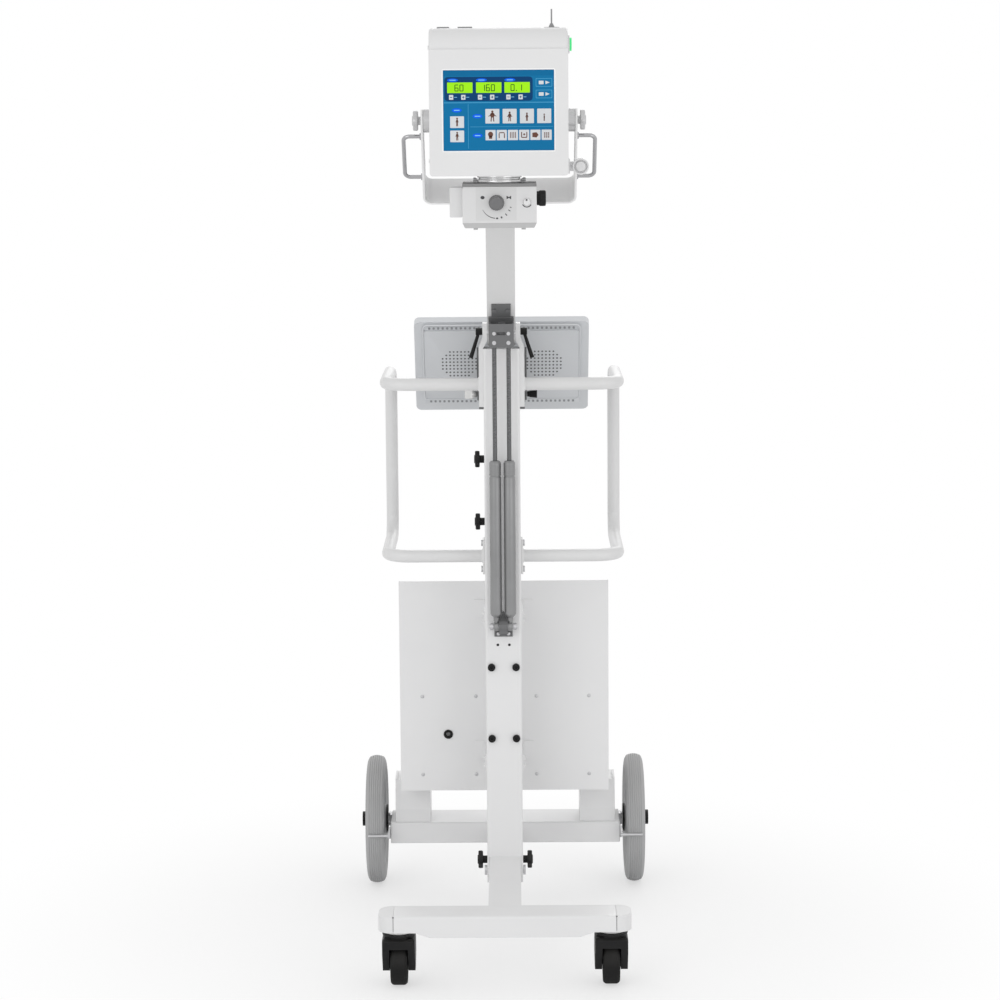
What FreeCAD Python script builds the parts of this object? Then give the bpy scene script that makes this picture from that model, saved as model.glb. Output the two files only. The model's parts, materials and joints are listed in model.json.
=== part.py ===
import FreeCAD, Part
import Sketcher
import os
import re

# Mobile X-ray stand: a wheeled H base, a box mast with a gas-spring arm, a yoke that carries
# a portable X-ray head with its collimator, a detector bin, handles and a monitor.
# +Z is up, the operator stands at +Y, the head reaches towards -Y, +X is to the right
# seen from the head. The origin is on the floor under the middle of the stand.

doc = FreeCAD.newDocument("stand")
sheet = doc.addObject("Spreadsheet::Sheet", "Sheet")

# Driving dimensions in millimetres and degrees
sizes = {
    # rear wheels and the crossbar between them
    "wheelDia": 245,
    "tyreWidth": 36,
    "tyreThick": 27,
    "treadGroove": 1.6,
    "wheelTrack": 495,
    "rearAxleY": 297,
    "axleDia": 20,
    "hubDia": 56,
    "hubCapDia": 28,
    "hubCapThick": 10,
    "sealThick": 3.5,
    "axleCollar": 4,
    "axleFlange": 4,
    "crossbarDepth": 99,
    "crossbarHeight": 41,
    "crossbarTop": 136,
    "axleToCrossbarBack": 13,
    "brakeRodDia": 4.4,
    "brakePivotDrop": 24,
    # front leg
    "casterY": -369,
    "casterInset": 34,
    "casterWheelDia": 75,
    "casterWheelWidth": 29,
    "casterTrail": 12,
    "casterForkWidth": 56,
    "casterOpening": 71,
    "casterPlateDia": 56,
    "casterPlateThick": 3,
    "casterNeckDia": 44,
    "casterNeckHeight": 5,
    "casterStemDia": 10,
    "socketDia": 48,
    "socketDrop": 6,
    "beamWidth": 431,
    "beamDepth": 70,
    "beamTop": 132,
    "beamHeight": 37,
    "beamEndHeight": 29,
    "beamStepOut": 64,
    "beamStepIn": 88,
    "beamCornerR": 24,
    "endCapLength": 26,
    "spineWidth": 57,
    "spineHeight": 38,
    "spineTop": 125,
    "pivotBeforeMast": 20,
    "footPinDia": 12,
    "spineTail": 46,
    # mast
    "mastWidth": 65,
    "mastDepth": 60,
    "mastWall": 3,
    "mastFrontY": 3,
    "mastTop": 1058,
    "mastCornerR": 5,
    "elbowRise": 29,
    "clevisThick": 8.4,
    "clevisDrop": 105,
    "clevisHeadR": 16,
    "spareHoleDrop": 39,
    "spareHoleSpread": 10.5,
    "binBoltHigh": 479,
    "binBoltLow": 347,
    "binBoltSpread": 22.2,
    "binBoltDia": 8,
    # clamp levers and knobs
    "leverHubDia": 13,
    "leverHubLength": 12,
    "leverLength": 50,
    "knobThick": 8.5,
    "knobStemDia": 14,
    "footKnobDia": 33,
    "mastKnobDia": 30,
    "mastKnobStem": 8,
    "mastKnobHigh": 856,
    "mastKnobLow": 742,
    # arm and yoke
    "armAngle": 48,
    "armWidth": 50,
    "armWall": 3,
    "armReach": 512,
    "yokeReach": 161,
    "yokeWidth": 60,
    "yokeThick": 4,
    "yokeSpan": 260,
    "yokeEndWidth": 36,
    "yokeHubLength": 22,
    "yokeHubDia": 46,
    "yokeShaftDia": 24,
    "yokeShaftDepth": 16,
    "elbowPinDia": 10,
    "tiltPinDia": 12,
    "grabDia": 7,
    "grabStandoff": 30,
    "grabStart": 35,
    "grabEnd": 128,
    # gas springs
    "springTubeDia": 21,
    "springRodDia": 8,
    "springPitch": 25.4,
    "springPinDia": 8,
    "springLowZ": 559,
    "springStandoff": 27,
    "springTopOut": 65,
    "springTopUp": 3,
    "springTubeLength": 302,
    "springEyeDia": 16,
    "crossPlateGap": 13,
    "crossPlateThick": 2.5,
    "crossPlateWidth": 44.6,
    # head, from the tilt axis
    "headWidth": 226,
    "headDepth": 220,
    "headBelow": 88.4,
    "headAbove": 150,
    "headBrowR": 34,
    "frontPanelThick": 3,
    "screenWidth": 179.5,
    "screenHeight": 129.3,
    "screenMidZ": 17.4,
    "tiltDiscDia": 39,
    "tiltKnobDia": 33,
    "switchRise": 123,
    "switchSetback": 62,
    "switchDia": 22,
    "cupDrop": 75,
    "cupOut": 20.5,
    "cupDia": 27,
    # collimator
    "collimatorWidth": 122,
    "collimatorDepth": 100,
    "collimatorHeight": 59.2,
    "collimatorChamfer": 8.2,
    "collimatorY": -20,
    "neckPlateThick": 5.5,
    "dialDia": 26,
    "dialShaftDia": 10,
    "lightButtonDia": 12,
    "ringDia": 74,
    "ringHeight": 13.5,
    # bin
    "binWidth": 389,
    "binHeight": 398,
    "binDepth": 130,
    "binBottom": 216,
    "binWall": 2,
    "binRearDrop": 55,
    "binGap": 77,
    "bracketHigh": 546,
    "bracketLow": 278,
    "bracketHeight": 33,
    "bracketSheet": 3,
    "grommetRise": 108,
    "grommetOut": 105,
    "grommetDia": 14,
    "axleSheet": 4,
    "axleBracketInner": 142,
    "axleBracketDepth": 84,
    # handles
    "handleDia": 23,
    "handleHalfWidth": 210,
    "handleReach": 263,
    "handleHighZ": 992,
    "handleLowZ": 679,
    "handleBendR": 42,
    "handleFootThick": 4,
    "handleFootHalf": 32,
    # monitor
    "monitorWidth": 318,
    "monitorHeight": 198,
    "monitorThick": 20,
    "monitorTilt": 30,
    "monitorRise": 50,
    "monitorHingeY": 150,
    "monitorHingeZ": 961,
    "hingeToMonitor": 15,
    "monitorBaseDrop": 18,
    "monitorBaseRise": 40,
    "earInner": 42,
    "earThick": 3.5,
    "hingePinDia": 8,
    # gaps
    "runGap": 0.05,
    "faceGap": 0.4,
}
for row, (alias, number) in enumerate(sizes.items(), start=1):
    cell = "A%d" % row
    sheet.set(cell, str(number))
    sheet.setAlias(cell, alias)
doc.recompute()

word = re.compile(r"\b[a-z]+[A-Za-z]*[A-Z][A-Za-z]*\b")
axisTurn = {
    "X": FreeCAD.Rotation(FreeCAD.Vector(0, 1, 0), 90),
    "Y": FreeCAD.Rotation(FreeCAD.Vector(1, 0, 0), -90),
    "Z": FreeCAD.Rotation(),
}
subparts = []


def formula(text):
    """An expression in which each size name points at its cell."""
    return word.sub(lambda found: "Sheet." + found.group(0), str(text))


def bind(item, prop, text):
    item.setExpression(prop, formula(text))


def place(item, x, y, z):
    for axis, text in zip("xyz", (x, y, z)):
        bind(item, ".Placement.Base." + axis, text)


def number(text):
    """The present value of a formula, for geometry that is worked out in code."""
    return float(sheet.evalExpression(formula(text)))


def box(name, x, y, z, length, width, height):
    """A box from its lowest corner and its three sizes."""
    item = doc.addObject("Part::Box", name)
    bind(item, "Length", length)
    bind(item, "Width", width)
    bind(item, "Height", height)
    place(item, x, y, z)
    return item


def slab(name, half, y, z, width, height):
    """A box centred on X."""
    return box(name, "-(%s)" % half, y, z, "2*(%s)" % half, width, height)


def rod(name, axis, x, y, z, radius, length):
    """A cylinder that starts at a point and runs along +X, +Y or +Z."""
    item = doc.addObject("Part::Cylinder", name)
    bind(item, "Radius", radius)
    bind(item, "Height", length)
    item.Placement.Rotation = axisTurn[axis]
    place(item, x, y, z)
    return item


def cone(name, axis, x, y, z, radius, endRadius, length):
    item = doc.addObject("Part::Cone", name)
    bind(item, "Radius1", radius)
    bind(item, "Radius2", endRadius)
    bind(item, "Height", length)
    item.Placement.Rotation = axisTurn[axis]
    place(item, x, y, z)
    return item


def fuse(name, items):
    item = doc.addObject("Part::MultiFuse", name)
    item.Shapes = items
    item.Refine = True
    return item


def cut(name, base, tools):
    """The base with every tool taken away."""
    item = doc.addObject("Part::Cut", name)
    item.Base = base
    item.Tool = tools[0] if len(tools) == 1 else fuse(name + "Tools", tools)
    item.Refine = True
    return item


def common(name, items):
    item = doc.addObject("Part::MultiCommon", name)
    item.Shapes = items
    return item


def group(name, items):
    item = doc.addObject("Part::Compound", name)
    item.Links = items
    return item


def rounded(name, base, radius, chosen):
    """Fillets of one radius on the edges that the test chooses."""
    doc.recompute()
    size = number(radius)
    picked = [i for i, edge in enumerate(base.Shape.Edges, start=1) if chosen(edge)]
    item = doc.addObject("Part::Fillet", name)
    item.Base = base
    item.Edges = [(i, size, size) for i in picked]
    return item


def along(axis):
    """A test for straight edges that run along one axis."""
    def test(edge):
        if edge.Curve.TypeId != "Part::GeomLine":
            return False
        return abs(abs(edge.Curve.Direction.dot(axis)) - 1) < 1e-6
    return test


xAxis = FreeCAD.Vector(1, 0, 0)
yAxis = FreeCAD.Vector(0, 1, 0)
zAxis = FreeCAD.Vector(0, 0, 1)


def profile(body, name, role, points):
    """A closed sketch of straight lines whose corners are bound to the sheet."""
    sketch = body.newObject("Sketcher::SketchObject", name + "Sketch")
    sketch.AttachmentSupport = [([f for f in body.Origin.OriginFeatures if f.Role == role][0], "")]
    sketch.MapMode = "FlatFace"
    places = [FreeCAD.Vector(number(u), number(v), 0) for u, v in points]
    for here, after in zip(places, places[1:] + places[:1]):
        sketch.addGeometry(Part.LineSegment(here, after))
    for i in range(len(places)):
        sketch.addConstraint(Sketcher.Constraint("Coincident", i, 2, (i + 1) % len(places), 1))
    for i, (u, v) in enumerate(points):
        for kind, text, value in (("DistanceX", u, places[i].x), ("DistanceY", v, places[i].y)):
            index = sketch.addConstraint(Sketcher.Constraint(kind, -1, 1, i, 1, value))
            bind(sketch, "Constraints[%d]" % index, text)
    sketch.Visibility = False
    return sketch


def outline(name, plane, points, start, length):
    """A profile on one plane, padded along the plane's axis from start."""
    body = doc.addObject("PartDesign::Body", name + "Body")
    role = {"X": "YZ_Plane", "Y": "XZ_Plane", "Z": "XY_Plane"}[plane]
    sketch = profile(body, name, role, points)
    bind(sketch, ".AttachmentOffset.Base.z", "%s(%s)" % ("-" if plane == "Y" else "", start))
    pad = body.newObject("PartDesign::Pad", name + "Pad")
    pad.Profile = sketch
    bind(pad, "Length", length)
    pad.Reversed = plane == "Y"
    return body


def turned(name, points, axis="Z"):
    """A profile of radius and height, turned about its axis."""
    body = doc.addObject("PartDesign::Body", name + "Body")
    sketch = profile(body, name, "XZ_Plane", points)
    turn = body.newObject("PartDesign::Revolution", name + "Turn")
    turn.Profile = sketch
    turn.ReferenceAxis = (sketch, ["V_Axis"])
    turn.Angle = 360
    body.Placement.Rotation = axisTurn[axis]
    return body


def node(name, item):
    """Keeps a finished sub-part under its own name."""
    item.Label = name
    subparts.append((name, item))
    return item


sides = {"left": -1, "right": 1}


def mirrored(side, low, high):
    """The lower X of a stretch that lies between two distances from the middle."""
    return low if side > 0 else "-(%s)" % high


def side_box(name, side, low, high, y, z, width, height):
    return box(name, mirrored(side, low, high), y, z, "(%s)-(%s)" % (high, low), width, height)


def side_rod(name, side, low, high, y, z, radius):
    return rod(name, "X", mirrored(side, low, high), y, z, radius, "(%s)-(%s)" % (high, low))


# Rear wheels, their axles and the crossbar

crossbarFront = "rearAxleY+axleToCrossbarBack-crossbarDepth"
sealInner = "(wheelTrack/2-tyreWidth/2-sealThick)"
crossbarHalf = "(wheelTrack/2-tyreWidth/2-sealThick-axleCollar-axleFlange)"
axleZ = "wheelDia/2"
mastBack = "mastFrontY+mastDepth"


def rear_wheel(label, side):
    """A grooved grey tyre on a dished hub that turns on its axle."""
    r = "wheelDia/2"
    w = "tyreWidth/2"
    rimR = "(wheelDia/2-tyreThick)"
    tread = [(rimR, "-tyreWidth/2+4"), (rimR + "+6", "-" + w), (r + "-12", "-" + w),
             (r + "-3", "-tyreWidth/2+4")]
    ribs = 5
    for i in range(ribs):
        low = "-tyreWidth/2+6+(tyreWidth-12)*%g" % (i / ribs)
        high = "-tyreWidth/2+6+(tyreWidth-12)*%g" % ((i + 1) / ribs)
        tread += [(r, low), (r, high + "-1.9")]
        if i < ribs - 1:
            tread += [(r + "-treadGroove", high + "-1.5"), (r + "-treadGroove", high + "-0.5")]
    tread += [(r + "-3", w + "-4"), (r + "-12", w), (rimR + "+6", w), (rimR, w + "-4")]
    tyre = turned("tyre" + label, tread, "X")
    place(tyre, "%d*wheelTrack/2" % side, "rearAxleY", axleZ)
    node("wheel_tyre_" + label, tyre)

    bore = "axleDia/2+runGap"
    flange = "(tyreWidth/2-4)"
    rim = [(bore, "-" + w), ("hubDia/2", "-" + w), ("hubDia/2", "-9"), (rimR + "-12", "-6"),
           (rimR + "-9", "-" + flange), (rimR, "-" + flange), (rimR, flange), (rimR + "-9", flange),
           (rimR + "-12", "6"), ("hubDia/2", "9"), ("hubDia/2", w), (bore, w)]
    disc = turned("rim" + label, rim, "Z")
    pockets = []
    middle = "(wheelDia/2-tyreThick-12+hubDia/2)/2"
    pocketR = "(wheelDia/2-tyreThick-12-hubDia/2)*0.34"
    for i in range(6):
        x = "%s*cos(%d)" % (middle, 60 * i)
        y = "%s*sin(%d)" % (middle, 60 * i)
        for face, low in enumerate(("-20", "3")):
            pockets.append(rod("pocket%d%d%s" % (i, face, label), "Z", x, y, low, pocketR, "17"))
    wheel = cut("wheel" + label, disc, pockets)
    wheel.Placement.Rotation = axisTurn["X"]
    place(wheel, "%d*wheelTrack/2" % side, "rearAxleY", axleZ)
    outer = "wheelTrack/2+tyreWidth/2"
    cap = side_rod("cap" + label, side, outer, outer + "+hubCapThick", "rearAxleY", axleZ, "hubCapDia/2")
    ring = side_rod("sealBody" + label, side, sealInner, sealInner + "+sealThick", "rearAxleY", axleZ,
                    "hubDia/2-1")
    hole = side_rod("sealBore" + label, side, sealInner + "-1", sealInner + "+sealThick+1", "rearAxleY",
                    axleZ, bore)
    seal = cut("seal" + label, ring, [hole])
    node("wheel_hub_" + label, group("hub" + label, [wheel, cap, seal]))


def stub_axles():
    """Shafts that leave the crossbar's ends, each with a square flange and a collar."""
    shafts = []
    root = crossbarHalf + "+axleFlange"
    for label, side in sides.items():
        flange = side_box("flange" + label, side, crossbarHalf, root, "rearAxleY-axleDia/2-4",
                          "crossbarTop-crossbarHeight+3", "axleDia+6", "crossbarHeight-6")
        shaft = side_rod("shaft" + label, side, root, "wheelTrack/2+tyreWidth/2-faceGap", "rearAxleY", axleZ,
                         "axleDia/2")
        collar = side_rod("collar" + label, side, root, sealInner + "-faceGap", "rearAxleY", axleZ,
                          "axleDia/2+4")
        shafts.append(fuse("axle" + label, [flange, shaft, collar]))
    node("stub_axles", group("axles", shafts))


def crossbar():
    bar = slab("barBlock", crossbarHalf, crossbarFront, "crossbarTop-crossbarHeight", "crossbarDepth",
               "crossbarHeight")
    node("crossbar", rounded("barRound", bar, "4", along(xAxis)))
    front = "mastFrontY+spineTail/2+9"
    spine = slab("rearSpineBlock", "spineWidth/2", front, "spineTop-spineHeight",
                 "%s-(%s)" % (crossbarFront, front),
                 "spineHeight")
    node("rear_spine", spine)


# Front leg: spine, beam, end caps and casters

pivotY = "mastFrontY-pivotBeforeMast"
pivotZ = "spineTop-spineHeight/2"
beamBack = "casterY+beamDepth/2"
casterX = "(beamWidth/2-casterInset)"
capStart = "(beamWidth/2-endCapLength)"
endBottom = "beamTop-beamEndHeight"
socketBottom = "beamTop-beamEndHeight-socketDrop"


def spine():
    """The leg's tube, pinned ahead of the mast, with a tail that the lock knobs hold."""
    tube = slab("spineBlock", "spineWidth/2", beamBack, "spineTop-spineHeight",
                "(%s)-(%s)+spineTail" % (pivotY, beamBack), "spineHeight")
    hole = rod("spineHole", "X", "-spineWidth", pivotY, pivotZ, "footPinDia/2+runGap", "2*spineWidth")
    node("spine_tube", cut("spineTube", tube, [hole]))


def front_beam():
    """A low box beam, deeper in the middle, with a round socket plate over each caster."""
    low = "beamTop-beamHeight"
    out = "beamWidth/2-beamStepOut"
    inner = "beamWidth/2-beamStepIn"
    points = [("-" + capStart, endBottom), ("-(%s)" % out, endBottom), ("-(%s)" % inner, low), (inner, low),
              (out, endBottom), (capStart, endBottom), (capStart, "beamTop"), ("-" + capStart, "beamTop")]
    bar = outline("beamBar", "Y", points, "casterY-beamDepth/2", "beamDepth")
    bar = rounded("beamRound", bar, "4",
                  lambda edge: along(xAxis)(edge) and edge.BoundBox.ZMin > number("beamTop") - 1)
    plates = []
    holes = []
    for label, side in sides.items():
        x = "%d*%s" % (side, casterX)
        plates.append(rod("socket" + label, "Z", x, "casterY", socketBottom, "socketDia/2", "socketDrop"))
        holes.append(rod("stemHole" + label, "Z", x, "casterY", socketBottom + "-1",
                         "casterStemDia/2+runGap",
                         "beamEndHeight-2"))
    node("front_beam", cut("beamDrilled", fuse("beamWhole", [bar] + plates), holes))


def beam_end_caps():
    """Rounded caps that close the beam's ends, cut away over the caster sockets."""
    caps = []
    for label, side in sides.items():
        block = side_box("capBlock" + label, side, capStart, "beamWidth/2", "casterY-beamDepth/2", endBottom,
                         "beamDepth", "beamEndHeight")
        far = number("beamWidth/2") * side
        block = rounded("capCorner" + label, block, "beamCornerR",
                        lambda edge: along(zAxis)(edge) and abs(edge.BoundBox.XMin - far) < 1)
        top = number("beamTop")
        block = rounded("capEdge" + label, block, "3",
                        lambda edge: abs(edge.BoundBox.ZMin - top) < 1e-3
                        and abs(edge.BoundBox.XMin - number(capStart) * side) + edge.BoundBox.XLength > 1)
        x = "%d*%s" % (side, casterX)
        trim = rod("capTrim" + label, "Z", x, "casterY", socketBottom + "-1", "socketDia/2+0.3",
                   "socketDrop+1")
        stem = rod("capStem" + label, "Z", x, "casterY", socketBottom + "-1", "casterStemDia/2+0.3",
                   "beamEndHeight-2")
        caps.append(cut("cap" + label + "End", block, [trim, stem]))
    node("beam_end_caps", group("endCaps", caps))


def caster(label, side):
    """A hooded twin-leg fork under its swivel plate, with its stem, and a wheel on the fork's axle."""
    x = "%d*%s" % (side, casterX)
    r = "casterWheelDia/2"
    top = "(%s-faceGap)" % socketBottom
    hoodTop = "(%s-casterPlateThick-casterNeckHeight)" % top
    axle = "casterY+casterTrail"
    half = "casterForkWidth/2"
    points = [("casterY-24", "casterOpening-3"), ("casterY-24", hoodTop + "-4"), ("casterY-19", hoodTop),
              (axle + "+22", hoodTop), (axle + "+38", hoodTop + "-14"), (axle + "+42", r + "+14"),
              (axle + "+12", r + "-11"), (axle + "-12", r + "-11")]
    hood = outline("hood" + label, "X", points, "%s-%s" % (x, half), "casterForkWidth")
    hood = rounded("hoodTips" + label, hood, "8",
                   lambda edge: along(xAxis)(edge) and edge.BoundBox.ZMax < number(r))
    hood = rounded("hoodRound" + label, hood, "4", lambda edge: not along(xAxis)(edge)
                   and edge.BoundBox.ZMin > number(r + "+14") - 1)
    plate = rod("swivelPlate" + label, "Z", x, "casterY", top + "-casterPlateThick", "casterPlateDia/2",
                "casterPlateThick")
    neck = rod("swivelNeck" + label, "Z", x, "casterY", hoodTop, "casterNeckDia/2", "casterNeckHeight")
    stem = rod("stem" + label, "Z", x, "casterY", top, "casterStemDia/2", "beamEndHeight-8")
    wide = "casterWheelWidth+3"
    space = box("tyreSpace" + label, "%s-(%s)/2" % (x, wide), axle + "-60", "-5", wide, "120",
                "casterOpening+5")
    arch = rod("arch" + label, "X", "%s-(%s)/2" % (x, wide), axle, r, r + "+3", wide)
    fork = cut("fork" + label, fuse("hoodStem" + label, [hood, neck, plate, stem]), [space, arch])
    pin = rod("casterPin" + label, "X", "%s-%s+2" % (x, half), axle, r, "4", "casterForkWidth-4")
    node("caster_fork_" + label, fuse("forkPin" + label, [fork, pin]))

    w = "casterWheelWidth/2"
    section = [("4+runGap", "-" + w), ("12", "-" + w), ("14", "-%s+3" % w), (r + "-12", "-%s+3" % w),
               (r + "-10", "-" + w), (r + "-4", "-" + w), (r, "-%s+5" % w), (r, w + "-5"), (r + "-4", w),
               (r + "-10", w), (r + "-12", w + "-3"), ("14", w + "-3"), ("12", w), ("4+runGap", w)]
    wheel = turned("casterWheel" + label, section, "X")
    place(wheel, x, axle, r)
    node("caster_wheel_" + label, wheel)


def t_knob(name, side, start, y, z, discDia, stem):
    """A lobed clamp knob: a stem, and a disc with four grips round its edge."""
    face = "%s+%s" % (start, stem)
    shank = side_rod(name + "Stem", side, start, face, y, z, "knobStemDia/2")
    disc = side_rod(name + "Disc", side, face, face + "+knobThick", y, z, "%s/2" % discDia)
    notches = []
    for i in range(4):
        turn = 45 + 90 * i
        notchY = "%s+%s*0.62*cos(%d)" % (y, discDia, turn)
        notchZ = "%s+%s*0.62*sin(%d)" % (z, discDia, turn)
        notches.append(side_rod(name + "Notch%d" % i, side, face + "-1", face + "+knobThick+1",
                                notchY, notchZ, "%s*0.2" % discDia))
    boss = side_rod(name + "Boss", side, face + "-1", face + "+knobThick+1.5", y, z, "%s*0.24" % discDia)
    return fuse(name, [cut(name + "Grip", disc, notches), shank, boss])


# Mast foot, mast and what is bolted to it

cheekIn = "spineWidth/2+0.3"
cheekOut = "mastWidth/2"
elbowY = "mastFrontY+mastDepth/2"
elbowZ = "mastTop+elbowRise"


def foot_bracket():
    """Two cheeks welded to the rear spine; the leg's tube swings between them."""
    cheeks = []
    low = "spineTop-spineHeight-3"
    points = [(pivotY + "-24", pivotZ), (pivotY + "-14", low + "+2"), (mastBack + "+30", low),
              (mastBack + "+46", "spineTop-12"), (mastBack + "+30", "spineTop"),
              (pivotY + "-10", "spineTop"),
              (pivotY + "-24", pivotZ + "+10")]
    for label, side in sides.items():
        cheeks.append(outline("cheek" + label, "X", points, mirrored(side, cheekIn, cheekOut),
                              "(%s)-(%s)" % (cheekOut, cheekIn)))
    tie = slab("footTie", cheekIn, "mastFrontY+spineTail/2+12", low, "60", "2.7")
    hole = rod("footPivotHole", "X", "-mastWidth", pivotY, pivotZ, "footPinDia/2+runGap", "2*mastWidth")
    node("mast_foot_bracket", cut("footBracket", fuse("cheeksTied", cheeks + [tie]), [hole]))
    pin = rod("footPin", "X", "-mastWidth/2-3", pivotY, pivotZ, "footPinDia/2", "mastWidth+6")
    heads = [side_rod("footPinHead" + label, side, "mastWidth/2+0.3", "mastWidth/2+5", pivotY, pivotZ, "9")
             for label, side in sides.items()]
    return fuse("footPinWhole", [pin] + heads)


def mast():
    """A rounded box tube, closed by a cap at its top, drilled for its screws."""
    height = "mastTop-spineTop"
    outer = slab("mastOuter", "mastWidth/2", "mastFrontY", "spineTop", "mastDepth", height)
    outer = rounded("mastRound", outer, "mastCornerR", along(zAxis))
    inner = slab("mastInner", "mastWidth/2-mastWall", "mastFrontY+mastWall", "spineTop-1",
                 "mastDepth-2*mastWall",
                 height + "-mastWall")
    holes = []
    for i, (x, z, r) in enumerate(front_holes()):
        holes.append(rod("mastHole%d" % i, "Y", x, "mastFrontY-1", z, r, "mastWall+2"))
    node("mast_tube", cut("mastTube", outer, [inner] + holes))


boltZ = ("binBoltHigh", "binBoltLow")


def front_holes():
    """The bin bolts' holes, and the two spare holes under the spring foot."""
    places = [("%d*binBoltSpread" % side, z, "binBoltDia/2+runGap") for z in boltZ for side in (-1, 1)]
    places += [("%d*spareHoleSpread" % side, "springLowZ-spareHoleDrop", "2.5") for side in (-1, 1)]
    return places


def clevis():
    """Two cheeks outside the mast that lean in to carry the elbow."""
    plates = []
    inner = "armWidth/2+faceGap"
    outer = "mastWidth/2"
    thick = "+clevisThick"
    foot = "mastTop-clevisDrop"
    head = elbowZ + "+clevisHeadR"
    for label, side in sides.items():
        points = [(outer, foot), (outer + thick, foot), (outer + thick, "mastTop+2"),
                  (inner + thick, "mastTop+18"),
                  (inner + thick, head), (inner, head), (inner, "mastTop+14"), (outer, "mastTop+1")]
        points = [("%d*(%s)" % (side, u), v) for u, v in points]
        plates.append(outline("clevis" + label, "Y", points, "mastFrontY+7", "mastDepth-14"))
    pair = fuse("clevisPair", plates)
    shape = rounded("clevisRound", pair, "clevisHeadR-2", lambda edge: along(xAxis)(edge)
                    and edge.BoundBox.ZMin > number(elbowZ) + 10)
    hole = rod("elbowHole", "X", "-mastWidth", elbowY, elbowZ, "elbowPinDia/2+runGap", "2*mastWidth")
    node("mast_clevis", cut("clevisBored", shape, [hole]))
    return rod("elbowPin", "X", "-(armWidth/2+faceGap+clevisThick)", elbowY, elbowZ, "elbowPinDia/2",
               "armWidth+2*faceGap+2*clevisThick")


def lever(label, side):
    """A ratchet clamp lever: a hub on the elbow's axis and a slim handle that hangs outward."""
    start = "armWidth/2+faceGap+clevisThick+0.3"
    hub = side_rod("leverHub" + label, side, start, start + "+leverHubLength", elbowY, elbowZ,
                   "leverHubDia/2")
    grip = cone("leverGrip" + label, "Z", "%d*(%s+leverHubLength/2)" % (side, start), elbowY, elbowZ, "2.8",
                "3.8",
                "leverLength")
    grip.Placement.Rotation = FreeCAD.Rotation(zAxis, FreeCAD.Vector(side * 0.3, -0.12, -0.94))
    node("clamp_lever_" + label, fuse("leverWhole" + label, [hub, grip]))


def spring_foot():
    """A plate on the mast with a pointed lug that carries the springs' cross pin."""
    y = "mastFrontY-springStandoff"
    plate = slab("footPlate", "16.5", "mastFrontY-4", "springLowZ-23", "4", "44")
    side = outline("footLugSide", "X", [("mastFrontY-4", "springLowZ-20"), (y + "-2", "springLowZ-9"),
                                        (y + "-9", "springLowZ-2"), (y + "-9", "springLowZ+4"),
                                        (y + "-3", "springLowZ+10"), ("mastFrontY-4", "springLowZ+24")],
                                        "-8", "16")
    gable = outline("footLugFront", "Y", [("-8", "springLowZ-21"), ("8", "springLowZ-21"),
                                          ("8", "springLowZ+8"),
                                          ("1", "springLowZ+24"), ("-1", "springLowZ+24"),
                                          ("-8", "springLowZ+8")],
                    y + "-10", "springStandoff+8")
    lug = common("footLug", [side, gable])
    hole = rod("footLugHole", "X", "-10", y, "springLowZ", "springPinDia/2+runGap", "20")
    foot = cut("footDrilled", fuse("footWhole", [plate, lug]), [hole])
    screws = [rod("footScrew%d" % turn, "Y", "%d*10.4" % turn, "mastFrontY-6.5", "springLowZ-18", "3.5",
                  "2.5")
              for turn in (-1, 1)]
    node("spring_foot_bracket", group("springFoot", [foot] + screws))
    reach = "springPitch/2+11"
    pin = rod("crossPin", "X", "-(%s)-1.5" % reach, y, "springLowZ", "springPinDia/2", "2*(%s)+3" % reach)
    nuts = [side_rod("crossNut" + label, turn, "springPitch/2+5", reach, y, "springLowZ", "6.5")
            for label, turn in sides.items()]
    return fuse("pinNuts", [pin] + nuts)


# Arm, in its own frame: the elbow at the origin, the arm along -Y

armTilt = FreeCAD.Rotation(FreeCAD.Vector(-1, 0, 0), number("armAngle"))


def on_arm(item):
    """Turns a piece that was built along -Y up to the arm's angle at the elbow."""
    whole = group(item.Name + "OnArm", [item])
    whole.Placement.Rotation = armTilt
    bind(whole, ".Placement.Rotation.Angle", "armAngle")
    place(whole, "0", elbowY, elbowZ)
    return whole


webY = "-(armReach-yokeReach)"
armEnd = "(armReach-yokeReach-yokeHubLength)"
springArmY = "-springTopOut*cos(armAngle)-springTopUp*sin(armAngle)"
springArmZ = "-springTopOut*sin(armAngle)+springTopUp*cos(armAngle)"


def arm():
    half = "armWidth/2"
    tube = slab("armBlock", half, "-" + armEnd, "-" + half, armEnd, "armWidth")
    end = rod("armHeel", "X", "-" + half, "0", "0", half, "armWidth")
    hollow = slab("armHollow", half + "-armWall", "-%s+yokeShaftDepth-2" % armEnd, "-%s+armWall" % half,
                  armEnd + "-armWidth", "armWidth-2*armWall")
    shaft = rod("armShaftBore", "Y", "0", "-%s-1" % armEnd, "0", "yokeShaftDia/2+runGap", "yokeShaftDepth")
    pinBore = rod("armPinBore", "X", "-armWidth", "0", "0", "elbowPinDia/2+runGap", "2*armWidth")
    body = cut("armTube", fuse("armWhole", [tube, end]), [hollow, shaft, pinBore])
    node("arm_tube", on_arm(body))


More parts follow.
